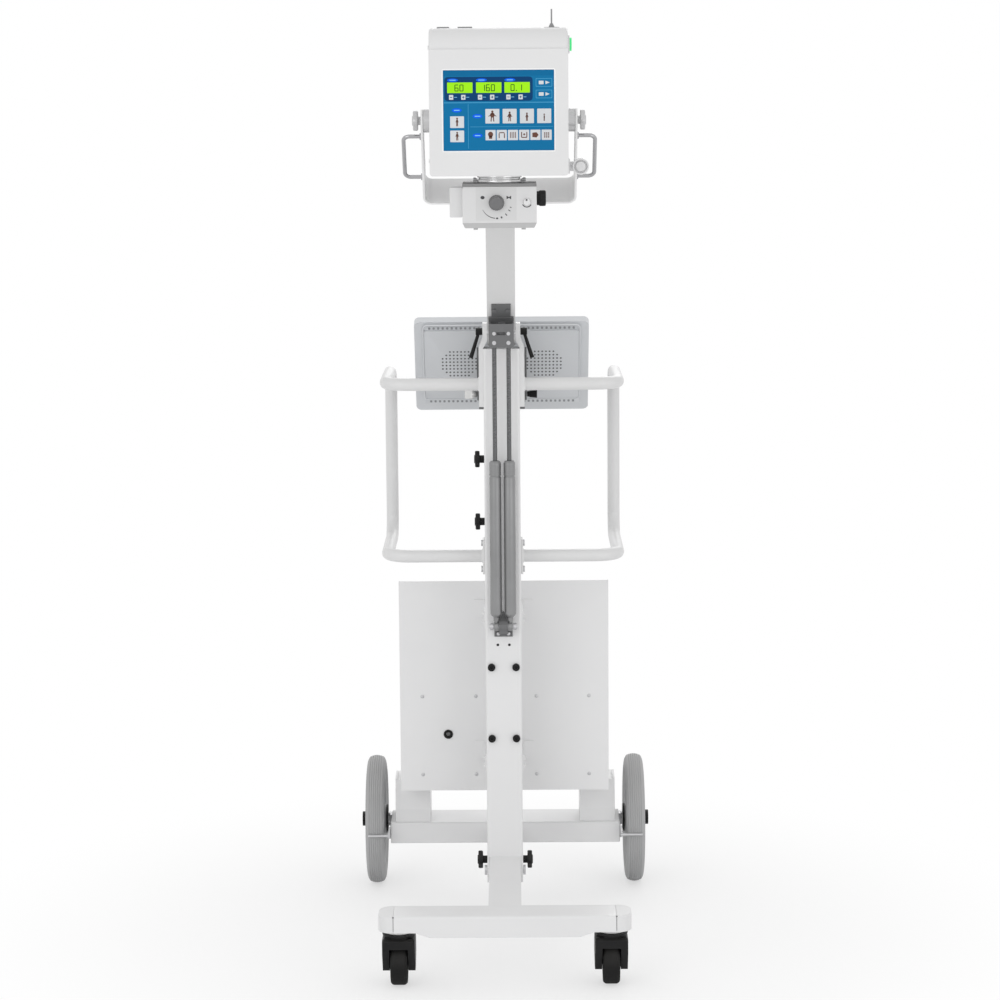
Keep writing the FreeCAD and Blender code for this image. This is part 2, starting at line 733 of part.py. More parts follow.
def arm_spring_bracket():
    """A dark channel on the arm's underside with lugs each side of the spring rods."""
    under = "-armWidth/2"
    pinY = springArmY
    pinZ = springArmZ
    plate = slab("bracketPlate", "22.5", pinY + "-20", under + "-4", "52", "4")
    points = [(pinY + "-10", under + "-4"), (pinY + "-8", pinZ + "-4"), (pinY + "-3", pinZ + "-8"),
              (pinY + "+4", pinZ + "-8"), (pinY + "+9", pinZ + "-4"), (pinY + "+18", under + "-4")]
    lugs = [outline("lugMiddle", "X", points, "-6.5", "13")]
    for label, side in sides.items():
        lugs.append(outline("lug" + label, "X", points, mirrored(side, "18.5", "22.5"), "4"))
    top = slab("bracketNeck", "17", pinY + "-52", under + "-3", "32", "3")
    screws = [rod("bracketScrew%d" % side, "Z", "%d*12" % side, pinY + "-38", under + "-5.5", "4", "2.5")
              for side in (-1, 1)]
    pins = [side_rod("bracketPin" + label, side, "18.2", "25.5", pinY, pinZ, "4") for label,
            side in sides.items()]
    body = fuse("springBracket", [plate, top] + lugs + pins)
    node("arm_spring_bracket", on_arm(group("bracketGroup", [body] + screws)))


# Gas springs, in their own frame: the lower pin at the origin, the rods along +Z

def springs():
    """Two cylinders and their rods, leaning from the lower pin to the arm's bracket."""
    r = "springTubeDia/2"
    tubes = []
    rods = []
    length = springLength()
    for label, side in sides.items():
        x = "%d*springPitch/2" % side
        bore = "springRodDia/2+runGap"
        section = [("0", "10"), ("5", "10"), ("5", "17"), (r + "-1.5", "21"), (r, "23"),
                   (r, "springTubeLength-20"),
                   (r + "-1", "springTubeLength-18.5"), (r + "-1", "springTubeLength-17"),
                   (r, "springTubeLength-15.5"), (r, "springTubeLength-4"), (r + "-3", "springTubeLength"),
                   (bore, "springTubeLength"), (bore, "30"), ("0", "30")]
        tube = turned("springTube" + label, section)
        place(tube, x, "0", "0")
        eye = rod("tubeEye" + label, "X", x + "-4", "0", "0", "springEyeDia/2", "8")
        neck = rod("tubeNeck" + label, "Z", x, "0", "0", "3.2", "12")
        hole = rod("tubeBore" + label, "X", x + "-5", "0", "0", "springPinDia/2+runGap", "10")
        tubes.append(cut("tubeWhole" + label, fuse("tubeEyed" + label, [tube, eye, neck]), [hole]))
        shaft = rod("springRod" + label, "Z", x, "0", "springTubeLength-90", "springRodDia/2",
                    "%s-(springTubeLength-90)" % length)
        head = rod("rodEye" + label, "X", x + "-5", "0", length, "springEyeDia/2", "10")
        boss = rod("rodBoss" + label, "Y", x, "-crossPlateGap", length, "4.5", "crossPlateGap-2")
        rods.append(fuse("rodWhole" + label, [shaft, head, boss]))
    for name, parts in (("spring_tubes", tubes), ("spring_rods", rods + cross_plate(length))):
        item = group(name + "Group", parts)
        item.Placement.Rotation = FreeCAD.Rotation(xAxis, number(springLean()))
        bind(item, ".Placement.Rotation.Angle", springLean())
        place(item, "0", "mastFrontY-springStandoff", "springLowZ")
        node(name, item)


def cross_plate(length):
    """The slotted plate that ties both rods together in front of the upper pivot."""
    face = "-crossPlateGap-crossPlateThick"
    plate = slab("crossPlate", "crossPlateWidth/2", face, length + "-25", "crossPlateThick", "42")
    slot = slab("crossSlot", "8", face + "-1", length + "-2.7", "crossPlateThick+2", "5.4")
    parts = [cut("crossSlotted", plate, [slot])]
    for label, side in sides.items():
        for name, drop, radius in (("crossBolt", "0", "3.2"), ("crossScrew", "16.5", "3.6")):
            parts.append(rod(name + label, "Y", "%d*springPitch/2" % side, face + "-1.6",
                             length + "-" + drop, radius,
                             "1.6"))
    return parts


def springVector():
    """Where the upper pivot lies from the lower pin, as forward and upward distances."""
    forward = "(springTopOut-mastDepth/2-springStandoff)"
    upward = "(mastTop+elbowRise+springTopUp-springLowZ)"
    return forward, upward


def springLength():
    forward, upward = springVector()
    return "sqrt(%s*%s+%s*%s)" % (forward, forward, upward, upward)


def springLean():
    forward, upward = springVector()
    return "atan(%s/%s)" % (forward, upward)


# Yoke, in the arm's frame

tiltY = "-armReach"


def yoke():
    """A flat bar bent into a U, 60 wide at its web and narrower at the tilt axis."""
    half = "yokeSpan/2"
    end = "yokeEndWidth/2"
    far = "%s-%s" % (tiltY, end)
    block = slab("yokeBlock", half, far, "-yokeWidth/2", "yokeReach+%s+yokeThick" % end, "yokeWidth")
    back = number(webY + "+yokeThick")
    block = rounded("yokeBend", block, "16",
                    lambda edge: along(zAxis)(edge) and abs(edge.BoundBox.YMin - back) < 1)
    hollow = slab("yokeHollow", half + "-yokeThick", far + "-1", "-yokeWidth/2-1", "yokeReach+%s+1" % end,
                  "yokeWidth+2")
    front = number(webY)
    hollow = rounded("yokeInner", hollow, "16-yokeThick",
                     lambda edge: along(zAxis)(edge) and abs(edge.BoundBox.YMin - front) < 1)
    bar = cut("yokeU", block, [hollow])
    shoulder = webY + "-34"
    corner = tiltY + "-%s*0.45" % end
    points = [(far, "-%s*0.45" % end), (corner, "-" + end), (shoulder, "-yokeWidth/2"),
              (webY + "+yokeThick", "-yokeWidth/2"), (webY + "+yokeThick", "yokeWidth/2"),
              (shoulder, "yokeWidth/2"),
              (corner, end), (far, end + "*0.45")]
    side = outline("yokeSide", "X", points, "-yokeSpan", "2*yokeSpan")
    holes = [rod("yokeTiltHole", "X", "-yokeSpan", tiltY, "0", "tiltPinDia/2+runGap", "2*yokeSpan"),
             rod("yokeShaftHole", "Y", "0", webY + "-1", "0", "yokeShaftDia/2", "yokeThick+2")]
    node("yoke_bar", on_arm(cut("yokeBar", common("yokeTaper", [bar, side]), holes)))
    flange = rod("hubFlange", "Y", "0", webY + "+yokeThick", "0", "yokeHubDia/2",
                 "yokeHubLength-yokeThick-faceGap")
    shaft = rod("hubShaft", "Y", "0", webY, "0", "yokeShaftDia/2", "yokeHubLength+yokeShaftDepth-2")
    bolts = []
    for i in range(4):
        turn = 45 + 90 * i
        bolts.append(rod("hubBolt%d" % i, "Y", "17*cos(%d)" % turn, webY + "-2.5", "17*sin(%d)" % turn, "3",
                         "2.5"))
    node("yoke_hub", on_arm(group("hubGroup", [fuse("hubWhole", [flange, shaft])] + bolts)))


def bent_rod(name, points, radius, bend):
    """A round bar along straight runs joined by arcs of one radius."""
    edges = []
    start = points[0]
    for i in range(1, len(points) - 1):
        before = (points[i - 1] - points[i]).normalize()
        after = (points[i + 1] - points[i]).normalize()
        first = points[i] + before * bend
        last = points[i] + after * bend
        middle = points[i] + (before + after) * bend - (before + after).normalize() * bend
        edges.append(Part.LineSegment(start, first).toShape())
        edges.append(Part.Arc(first, middle, last).toShape())
        start = last
    edges.append(Part.LineSegment(start, points[-1]).toShape())
    path = Part.Wire(edges)
    ring = Part.Wire([Part.makeCircle(radius, points[0], points[1] - points[0])])
    item = doc.addObject("Part::Feature", name)
    item.Shape = path.makePipeShell([ring], True, True)
    return item


def grab_handles():
    """Bright rod handles that stand out from the yoke's sides."""
    bars = []
    near = number(tiltY + "+grabStart")
    far = number(tiltY + "+grabEnd")
    for label, side in sides.items():
        root = side * number("yokeSpan/2")
        out = side * number("yokeSpan/2+grabStandoff")
        path = [FreeCAD.Vector(root, near, 0), FreeCAD.Vector(out, near, 0), FreeCAD.Vector(out, far, 0),
                FreeCAD.Vector(root, far, 0)]
        bars.append(bent_rod("grab" + label, path, number("grabDia/2"), 10))
    node("grab_handles", on_arm(group("grabGroup", bars)))


def tilt_pivots():
    """Grey discs on the head's sides with the pins that pass through the yoke."""
    items = []
    for label, side in sides.items():
        disc = side_rod("tiltDisc" + label, side, "headWidth/2", "yokeSpan/2-yokeThick-faceGap", "0", "0",
                        "tiltDiscDia/2")
        pin = side_rod("tiltPin" + label, side, "headWidth/2", "yokeSpan/2-0.2", "0", "0", "tiltPinDia/2")
        items.append(fuse("tiltPivot" + label, [disc, pin]))
    node("tilt_pivots", at_head(group("tiltGroup", items)))


def tilt_knobs():
    for label, side in sides.items():
        knob = t_knob("tiltKnob" + label, side, "yokeSpan/2+0.3", "0", "0", "tiltKnobDia", "4")
        node("tilt_knob_" + label, at_head(knob))


# Head, from the tilt axis, upright

headPlace = ("0", "mastFrontY+mastDepth/2-armReach*cos(armAngle)",
             "mastTop+elbowRise+armReach*sin(armAngle)")


def at_head(item):
    """Carries a piece that was built from the tilt axis up to the head's place."""
    whole = group(item.Name + "AtHead", [item])
    place(whole, *headPlace)
    return whole


def head_housing():
    """A deep case with a round brow over its front, hollowed at the front for the panel."""
    w = "headWidth/2"
    front = "-headDepth/2+frontPanelThick"
    back = "headDepth/2"
    points = [(front, "-headBelow"), (back, "-headBelow"), (back, "headAbove"), (front, "headAbove")]
    case = outline("case", "X", points, "-" + w, "headWidth")
    brow = number(front)
    top = number("headAbove")
    case = rounded("caseBrow", case, "headBrowR", lambda edge: along(xAxis)(edge)
                   and abs(edge.BoundBox.YMin - brow) < 1 and abs(edge.BoundBox.ZMin - top) < 1)
    case = rounded("caseBack", case, "14", lambda edge: along(xAxis)(edge)
                   and edge.BoundBox.YMin > number(back) - 1)
    wide = number(w)
    case = rounded("caseSides", case, "5", lambda edge: abs(abs(edge.BoundBox.XMin) - wide) < 1e-3
                   and edge.BoundBox.XLength < 1e-3 and edge.BoundBox.YMax > brow + 1
                   and edge.BoundBox.ZMax > -number("headBelow") + 1)
    node("head_housing", at_head(case))


def head_front_panel():
    w = "headWidth/2"
    plate = slab("frontPlate", w, "-headDepth/2", "-headBelow", "frontPanelThick",
                 "headBelow+headAbove-headBrowR")
    plate = rounded("frontPlateRound", plate, "5",
                    lambda edge: along(yAxis)(edge) and edge.BoundBox.ZMin < 0)
    window = slab("frontWindow", "screenWidth/2+0.3", "-headDepth/2-1", "screenMidZ-screenHeight/2-0.3",
                  "frontPanelThick+2", "screenHeight+0.6")
    node("head_front_panel", at_head(cut("frontPanel", plate, [window])))
    screen = slab("screenPlate", "screenWidth/2", "-headDepth/2+0.6", "screenMidZ-screenHeight/2",
                  "frontPanelThick-0.6", "screenHeight")
    node("head_screen", at_head(screen))


def head_fittings():
    """The aerial, two low connectors, the switch's bezel, the hand-switch cup and side screws."""
    foot = rod("aerialFoot", "Z", "87.5", "-20", "headAbove", "13", "1.6")
    flare = cone("aerialFlare", "Z", "87.5", "-20", "headAbove+1.6", "5", "2.4", "6")
    whip = rod("aerialWhip", "Z", "87.5", "-20", "headAbove+7", "1.3", "24")
    aerial = fuse("aerial", [foot, flare, whip])
    blocks = [box("connector%d" % i, x, "-30", "headAbove", wide, "16", "3")
              for i, (x, wide) in enumerate((("-101", "20"), ("-67", "24")))]
    side = "headWidth/2"
    bezel = cut("switchBezel", rod("switchRing", "X", side, "-switchSetback", "switchRise", "switchDia/2+4",
                                   "3"),
                [rod("switchWell", "X", side + "+1", "-switchSetback", "switchRise", "switchDia/2+faceGap",
                     "4")])
    middle = side + "+cupOut"
    stalk = rod("cupStalk", "X", side, "-62", "-cupDrop", "8", "10")
    flange = rod("cupFlange", "X", side, "-62", "-cupDrop", "12", "3")
    well = rod("cupWell", "Y", middle, "-79", "-cupDrop", "cupDia/2-2.5", "6")
    boss = rod("cupBoss", "Y", middle, "-76.5", "-cupDrop", "8", "6")
    cup = fuse("cup", [cut("cupHollow", rod("cupBody", "Y", middle, "-78", "-cupDrop", "cupDia/2", "32"),
                           [well]), boss])
    holder = fuse("cupHolder", [stalk, flange, cup])
    screws = []
    for label, turn in sides.items():
        for i, (y, z) in enumerate((("-90", "119"), ("-90", "-64"), ("85", "119"), ("85", "-64"))):
            screws.append(side_rod("headScrew%d%s" % (i, label), turn, side, side + "+1.6", y, z, "3.2"))
    node("head_fittings", at_head(group("fittings", [aerial, bezel, holder] + blocks + screws)))
    node("power_switch", at_head(rod("powerButton", "X", side + "+3.2", "-switchSetback", "switchRise",
                                     "switchDia/2", "3.3")))


# Collimator, under the head

boxTop = "(-headBelow-ringHeight-neckPlateThick)"


def collimator():
    y = "collimatorY"
    ring = rod("neckRing", "Z", "0", y, "-headBelow-ringHeight+faceGap", "ringDia/2", "ringHeight-faceGap")
    groove = cut("neckGroove", rod("neckOuter", "Z", "0", y, "-headBelow-ringHeight+5", "ringDia/2+1", "3"),
                 [rod("neckCore", "Z", "0", y, "-headBelow-ringHeight+4", "ringDia/2-2.5", "5")])
    clips = [side_box("clip" + label, side, "ringDia/2-0.5", "ringDia/2+7", y + "-5",
                      "-headBelow-ringHeight+2", "10", "5")
             for label, side in sides.items()]
    node("collimator_ring", at_head(fuse("ring", [cut("ringGrooved", ring, [groove])] + clips)))

    half = "collimatorWidth/2"
    front = y + "-collimatorDepth/2"
    plate = slab("neckPlate", half, front, boxTop, "collimatorDepth", "neckPlateThick")
    low = boxTop + "-collimatorHeight"
    base = low + "-collimatorChamfer"
    points = [("-" + half, boxTop), ("-" + half, low), ("-%s+4" % half, base), (half + "-4", base),
              (half, low),
              (half, boxTop)]
    case = outline("collimatorCase", "Y", points, front, "collimatorDepth")
    lowest = number(low)
    case = rounded("collimatorRound", case, "2.5", lambda edge: along(yAxis)(edge)
                   and abs(edge.BoundBox.ZMin - lowest) > 1)
    rails = [box("rail%d" % i, x, front + "+6", base + "-3", "7", "collimatorDepth-12", "3")
             for i, x in enumerate(("-43", "36"))]
    window = slab("lightWindow", "30", y + "-30", base + "-0.5", "60", "1.5")
    case = cut("caseWindow", fuse("caseRails", [case] + rails), [window])
    pocket = box("sideBox", "-%s-21" % half, front + "+8", boxTop + "-50", "21", "62", "49")
    pocket = rounded("sideBoxRound", pocket, "2", along(yAxis))
    dialX = "-5"
    dialZ = boxTop + "-26"
    buttonX = "45"
    buttonZ = boxTop + "-25"
    knobY = front + "+25"
    knobZ = boxTop + "-20"
    shaftBore = "dialShaftDia/2+runGap"
    sockets = [rod("dialWell", "Y", dialX, front + "-0.01", dialZ, shaftBore, "7"),
               rod("buttonWell", "Y", buttonX, front + "-0.01", buttonZ, "lightButtonDia/2+runGap", "6"),
               rod("knobWell", "X", half + "-8", knobY, knobZ, shaftBore, "9")]
    node("collimator_body", at_head(group("collimatorGroup",
                                          [cut("caseDrilled", case, sockets), plate, pocket])))

    dial = fuse("dial", [rod("dialShaft", "Y", dialX, front + "-2", dialZ, "dialShaftDia/2", "8"),
                         rod("dialSkirt", "Y", dialX, front + "-3.3", dialZ, "dialDia/2", "3"),
                         rod("dialGrip", "Y", dialX, front + "-13", dialZ, "dialDia/2-2.5", "10")])
    node("collimator_dial", at_head(dial))
    knob = fuse("sideKnob", [rod("sideKnobShaft", "X", half + "-7", knobY, knobZ, "dialShaftDia/2", "10"),
                             rod("sideKnobBody", "X", half + "+0.6", knobY, knobZ, "12", "3.5"),
                             rod("sideKnobGrip", "X", half + "+3.5", knobY, knobZ, "13", "12")])
    node("collimator_knob", at_head(knob))
    node("light_button", at_head(rod("lightButton", "Y", buttonX, front + "-4", buttonZ, "lightButtonDia/2",
                                     "7")))


# Handles

def handles():
    """One bent tube each side: out from the mast, back, down, forward and in again."""
    y = number("mastFrontY+mastDepth/2")
    back = number("mastFrontY+mastDepth/2+handleReach")
    high = number("handleHighZ")
    low = number("handleLowZ")
    bolts = []
    for label, side in sides.items():
        root = side * number("mastWidth/2+clevisThick")
        foot = side * number("mastWidth/2+handleFootThick")
        out = side * number("handleHalfWidth")
        path = [FreeCAD.Vector(root, y, high), FreeCAD.Vector(out, y, high), FreeCAD.Vector(out, back, high),
                FreeCAD.Vector(out, back, low), FreeCAD.Vector(out, y, low), FreeCAD.Vector(foot, y, low)]
        bar = bent_rod("handleBar" + label, path, number("handleDia/2"), number("handleBendR"))
        plate = side_box("handleFoot" + label, side, "mastWidth/2", "mastWidth/2+handleFootThick",
                         "mastFrontY+13",
                         "handleLowZ-handleFootHalf", "mastDepth-26", "2*handleFootHalf")
        node("handle_" + label, fuse("handle" + label, [bar, plate]))
        for i, rise in enumerate((-1, 1)):
            boltHeight = "handleLowZ+%d*(handleFootHalf-8)" % rise
            bolts.append(side_rod("handleBolt%d%s" % (i, label), side, "mastWidth/2+handleFootThick",
                                  "mastWidth/2+handleFootThick+3", elbowY, boltHeight, "6"))
    node("handle_bolts", group("handleBolts", bolts))


# Bin, its brackets and rivets

binFront = "mastFrontY+mastDepth+binGap"
binTop = "binBottom+binHeight"


def detector_bin():
    """A folded sheet bin, open at its top, with a lower rear wall for lifting a detector out."""
    half = "binWidth/2"
    back = binFront + "+binDepth"
    low = binTop + "-binRearDrop"
    points = [(binFront, "binBottom"), (back, "binBottom"), (back, low), (back + "-30", low),
              (binFront + "+8", binTop),
              (binFront, binTop)]
    block = outline("binBlock", "X", points, "-" + half, "binWidth")
    inner = slab("binInner", half + "-binWall", binFront + "+binWall", "binBottom+binWall",
                 "binDepth-2*binWall",
                 "binHeight")
    x = "-grommetOut"
    z = "binBottom+grommetRise"
    hole = rod("grommetHole", "Y", x, binFront + "-1", z, "grommetDia/2+0.1", "binWall+2")
    node("cabinet_shell", cut("binShell", block, [inner, hole]))
    rivets = []
    for i, column in enumerate(("-153", "-53", "60", "158")):
        for j, rise in enumerate(("binBottom+180", "binBottom+31")):
            rivets.append(rod("rivet%d%d" % (i, j), "Y", column, binFront + "-1.6", rise, "3.5", "1.6"))
    node("cabinet_rivets", group("rivets", rivets))
    lip = "grommetDia/2+1.6"
    ring = fuse("grommetLips", [rod("grommetBody", "Y", x, binFront + "-2", z, "grommetDia/2", "binWall+4"),
                                rod("grommetFace", "Y", x, binFront + "-2", z, lip, "1.9"),
                                rod("grommetRear", "Y", x, binFront + "+binWall+0.1", z, lip, "1.9")])
    bore = rod("grommetBore", "Y", x, binFront + "-3", z, "grommetDia/2-3", "binWall+8")
    node("cable_grommet", cut("grommet", ring, [bore]))


def bin_brackets():
    """Hat-shaped plates that straddle the mast and reach back to the bin."""
    items = []
    start = "mastFrontY+24"
    sheet = "mastWidth/2+bracketSheet"
    for i, z in enumerate(("bracketHigh", "bracketLow")):
        for label, side in sides.items():
            web = side_box("web%d%s" % (i, label), side, "mastWidth/2", sheet, start, z,
                           "%s-(%s)" % (binFront, start),
                           "bracketHeight")
            foot = side_box("foot%d%s" % (i, label), side, "mastWidth/2", "mastWidth/2+22",
                            binFront + "-bracketSheet",
                            z, "bracketSheet", "bracketHeight")
            screws = [side_rod("webScrew%d%d%s" % (i, j, label), side, sheet, sheet + "+3", "mastFrontY+36",
                               z + "+%d" % (9 + 15 * j), "3.5") for j in range(2)]
            items.append(fuse("bracket%d%s" % (i, label), [web, foot] + screws))
    node("cabinet_brackets", group("binBrackets", items))


def frame_bolts():
    """Black socket bolts on the mast's front."""
    bolts = []
    for i, z in enumerate(boltZ):
        for side in (-1, 1):
            x = "%d*binBoltSpread" % side
            head = rod("boltHead%d%d" % (i, side), "Y", x, "mastFrontY-6", z, "binBoltDia*0.85", "6")
            socket = rod("boltSocket%d%d" % (i, side), "Y", x, "mastFrontY-7", z, "3.4", "4.5")
            shank = rod("boltShank%d%d" % (i, side), "Y", x, "mastFrontY-1", z, "binBoltDia/2", "mastWall+9")
            bolts.append(fuse("bolt%d%d" % (i, side),
                              [cut("boltCut%d%d" % (i, side), head, [socket]), shank]))
    node("frame_bolts", group("frameBolts", bolts))


# Axle brackets on the crossbar

def axle_brackets():
    """Folded channels on the crossbar that carry the bin's corners."""
    items = []
    top = "binBottom"
    front = crossbarFront + "+5"
    back = front + "+axleBracketDepth"
    outer = "binWidth/2+10"
    width = "axleSheet+%s-axleBracketInner" % outer
    for label, side in sides.items():
        points = [(front, "crossbarTop"), (front, "crossbarTop+24"), (front + "+8", top + "-axleSheet"),
                  (front + "+8", top + "+2"), (front + "+20", top + "+6"), (front + "+60", top + "+6"),
                  (back, "crossbarTop+10"), (back, "crossbarTop")]
        start = outer if side > 0 else "-(%s+axleSheet)" % outer
        cheek = outline("axleCheek" + label, "X", points, start, "axleSheet")
        low = [(front, "crossbarTop"), (front, "crossbarTop+24"), (front + "+8", top), (back, top),
               (back, "crossbarTop")]
        start = "axleBracketInner" if side > 0 else "-(axleBracketInner+axleSheet)"
        web = outline("axleWeb" + label, "X", low, start, "axleSheet")
        skin = [(front, "crossbarTop"), (front, "crossbarTop+24"), (front + "+8", top + "-axleSheet"),
                (front + "+8", top), (back, top), (back, top + "-axleSheet"),
                (front + "+12", top + "-axleSheet"),
                (front + "+axleSheet", "crossbarTop+24"), (front + "+axleSheet", "crossbarTop")]
        start = "axleBracketInner" if side > 0 else "-(%s+axleSheet)" % outer
        face = outline("axleSkin" + label, "X", skin, start, width)
        items.append(fuse("axleBracket" + label, [cheek, web, face]))
    node("axle_brackets", group("axleBrackets", items))


# Brakes

brakePivotY = crossbarFront + "+12"
brakePivotZ = "crossbarTop-brakePivotDrop"


def brakes():
    """A short arm on the crossbar's end with a rod that bears on the tyre's front."""
    x = crossbarHalf + "+faceGap"
    rodY = "rearAxleY-wheelDia/2-brakeRodDia/2-0.9"
    for label, side in sides.items():
        plate = side_box("brakePlate" + label, side, x, x + "+4", rodY, brakePivotZ + "+4",
                         "(%s)-(%s)" % (brakePivotY, rodY), "9")
        hub = side_rod("brakeHub" + label, side, x, x + "+4", brakePivotY, brakePivotZ, "10")
        bar = side_rod("brakeRod" + label, side, x, "wheelTrack/2+tyreWidth/2-6", rodY, brakePivotZ + "+8.5",
                       "brakeRodDia/2")
        hole = side_rod("brakeHole" + label, side, x + "-1", x + "+5", brakePivotY, brakePivotZ, "3+runGap")
        node("brake_" + label, cut("brake" + label, fuse("brakeWhole" + label, [plate, hub, bar]), [hole]))


def brake_pins():
    pins = []
    for label, side in sides.items():
        pin = side_rod("brakePin" + label, side, crossbarHalf, crossbarHalf + "+5.5", brakePivotY,
                       brakePivotZ, "3")
        head = side_rod("brakePinHead" + label, side, crossbarHalf + "+4.8", crossbarHalf + "+6.5",
                        brakePivotY,
                        brakePivotZ, "5")
        pins.append(fuse("brakePinWhole" + label, [pin, head]))
    return pins


# Knobs

def knobs():
    start = "mastWidth/2+0.3"
    for label, side in sides.items():
        node("foot_knob_" + label, t_knob("footKnob" + label, side, start, "mastFrontY+16", "spineTop-9",
                                          "footKnobDia", "mastKnobStem"))
    for label, z in (("upper", "mastKnobHigh"), ("lower", "mastKnobLow")):
        node("mast_knob_" + label, t_knob("mastKnob" + label, -1, start, elbowY, z, "mastKnobDia",
                                          "mastKnobStem"))


# Monitor, from its hinge, leaning towards the head

monitorTurn = FreeCAD.Rotation(xAxis, number("monitorTilt"))


def at_monitor(item):
    """Leans a piece that was built upright from the hinge."""
    whole = group(item.Name + "AtHinge", [item])
    whole.Placement.Rotation = monitorTurn
    bind(whole, ".Placement.Rotation.Angle", "monitorTilt")
    place(whole, "0", "monitorHingeY", "monitorHingeZ")
    return whole


def monitor():
    half = "monitorWidth/2"
    face = "hingeToMonitor"
    low = "monitorRise-monitorHeight/2"
    block = slab("monitorBlock", half, face + "+4", low, "monitorThick-4", "monitorHeight")
    block = rounded("monitorRound", block, "10", along(yAxis))
    bulge = slab("monitorBulge", half + "-17", face, low + "+16", "4.5", "monitorHeight-34")
    bulge = rounded("bulgeRound", bulge, "6", along(yAxis))
    shell = fuse("monitorShell", [block, bulge])
    well = slab("monitorWell", half + "-8", face + "+monitorThick-2.5", low + "+8", "5", "monitorHeight-16")
    ears = []
    for label, side in sides.items():
        ear = side_box("monitorEar" + label, side, "earInner", "earInner+earThick", "-8", "-12",
                       face + "+10", "107")
        ear = rounded("monitorEarRound" + label, ear, "7.5",
                      lambda edge: along(xAxis)(edge) and edge.BoundBox.YMax < 0)
        ears.append(ear)
    body = fuse("monitorWhole", [cut("monitorOpen", shell, [well])] + ears)
    hole = rod("monitorPinHole", "X", "-60", "0", "0", "hingePinDia/2+runGap", "120")
    node("monitor_housing", at_monitor(cut("monitorDrilled", body, [hole])))
    glass = slab("monitorGlass", half + "-8.3", face + "+monitorThick-2.4", low + "+8.3", "2",
                 "monitorHeight-16.6")
    node("monitor_screen", at_monitor(glass))


def monitor_bracket():
    """Dark plates from the mast's back to the monitor's hinge, with the hinge pin."""
    y = "mastFrontY+mastDepth"
    outer = "earInner-0.5"
    inner = "earInner-0.5-earThick"
    low = "monitorHingeZ-monitorBaseDrop"
    high = "monitorHingeZ+monitorBaseRise"
    base = slab("bracketBase", outer, y, low, "4", "monitorBaseDrop+monitorBaseRise")
    points = [(y, low + "+2"), (y + "+14", low + "+2"), ("monitorHingeY-9", "monitorHingeZ-12"),
              ("monitorHingeY+8", "monitorHingeZ-9"), ("monitorHingeY+8", "monitorHingeZ+9"),
              ("monitorHingeY-9", "monitorHingeZ+12"), (y + "+14", high + "-2"), (y, high + "-2")]
    items = [base]
    for label, side in sides.items():
        items.append(outline("bracketSide" + label, "X", points, mirrored(side, inner, outer), "earThick"))
    wingStart = "earInner+earThick+1"
    pin = rod("monitorPin", "X", "-(%s)-4" % wingStart, "monitorHingeY", "monitorHingeZ", "hingePinDia/2",
              "2*(%s)+3.5" % wingStart)
    wing = rod("wingHub", "X", "-(%s)-9" % wingStart, "monitorHingeY", "monitorHingeZ", "6", "9")
    blade = box("wingBlade", "-(%s)-22" % wingStart, "monitorHingeY-2", "monitorHingeZ-8", "15", "4", "16")
    body = fuse("monitorBracket", items + [pin])
    screw = cut("wingBored", fuse("wingScrew", [wing, blade]), [
        rod("wingBore", "X", "-(%s)-4" % wingStart, "monitorHingeY", "monitorHingeZ", "hingePinDia/2", "5")])
    node("monitor_bracket", group("bracketParts", [body, screw]))
    stem = rod("coneStem", "X", wingStart + "-0.2", "monitorHingeY", "monitorHingeZ", "5", "5")
    grip = cone("coneGrip", "X", wingStart + "+4", "monitorHingeY", "monitorHingeZ", "6", "7.5", "14")
    node("monitor_knob", fuse("coneWhole", [stem, grip]))


def pins(fixed):
    """The fixed pivot pins of the leg, the elbow, the springs' foot and the brakes."""
    node("pivot_pins", group("pivotPins", fixed + brake_pins()))


def build():
    for label, side in sides.items():
        rear_wheel(label, side)
        caster(label, side)
        lever(label, side)
    stub_axles()
    crossbar()
    spine()
    front_beam()
    beam_end_caps()
    mast()
    pins([foot_bracket(), clevis(), spring_foot()])
    arm()
    arm_spring_bracket()
    springs()
    yoke()
    grab_handles()
    tilt_pivots()
    tilt_knobs()
    head_housing()
    head_front_panel()
    head_fittings()
    collimator()
    handles()
    detector_bin()
    bin_brackets()
    frame_bolts()
    axle_brackets()
    brakes()
    knobs()
    monitor()
    monitor_bracket()


build()


def export():
    doc.recompute()
    for item in doc.Objects:
        if "Invalid" in item.State or "Error" in item.State:
            raise RuntimeError("%s failed: %s" % (item.Name, item.State))
    os.makedirs("parts", exist_ok=True)
    for name, item in subparts:
        if item.Shape.isNull() or not item.Shape.isValid():
            raise RuntimeError("%s has no valid shape" % name)
        item.Shape.exportStep("parts/%s.step" % name)


export()
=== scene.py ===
import json
import math
import bmesh
import bpy
import numpy as np
from mathutils import Matrix, Vector
from mathutils.bvhtree import BVHTree

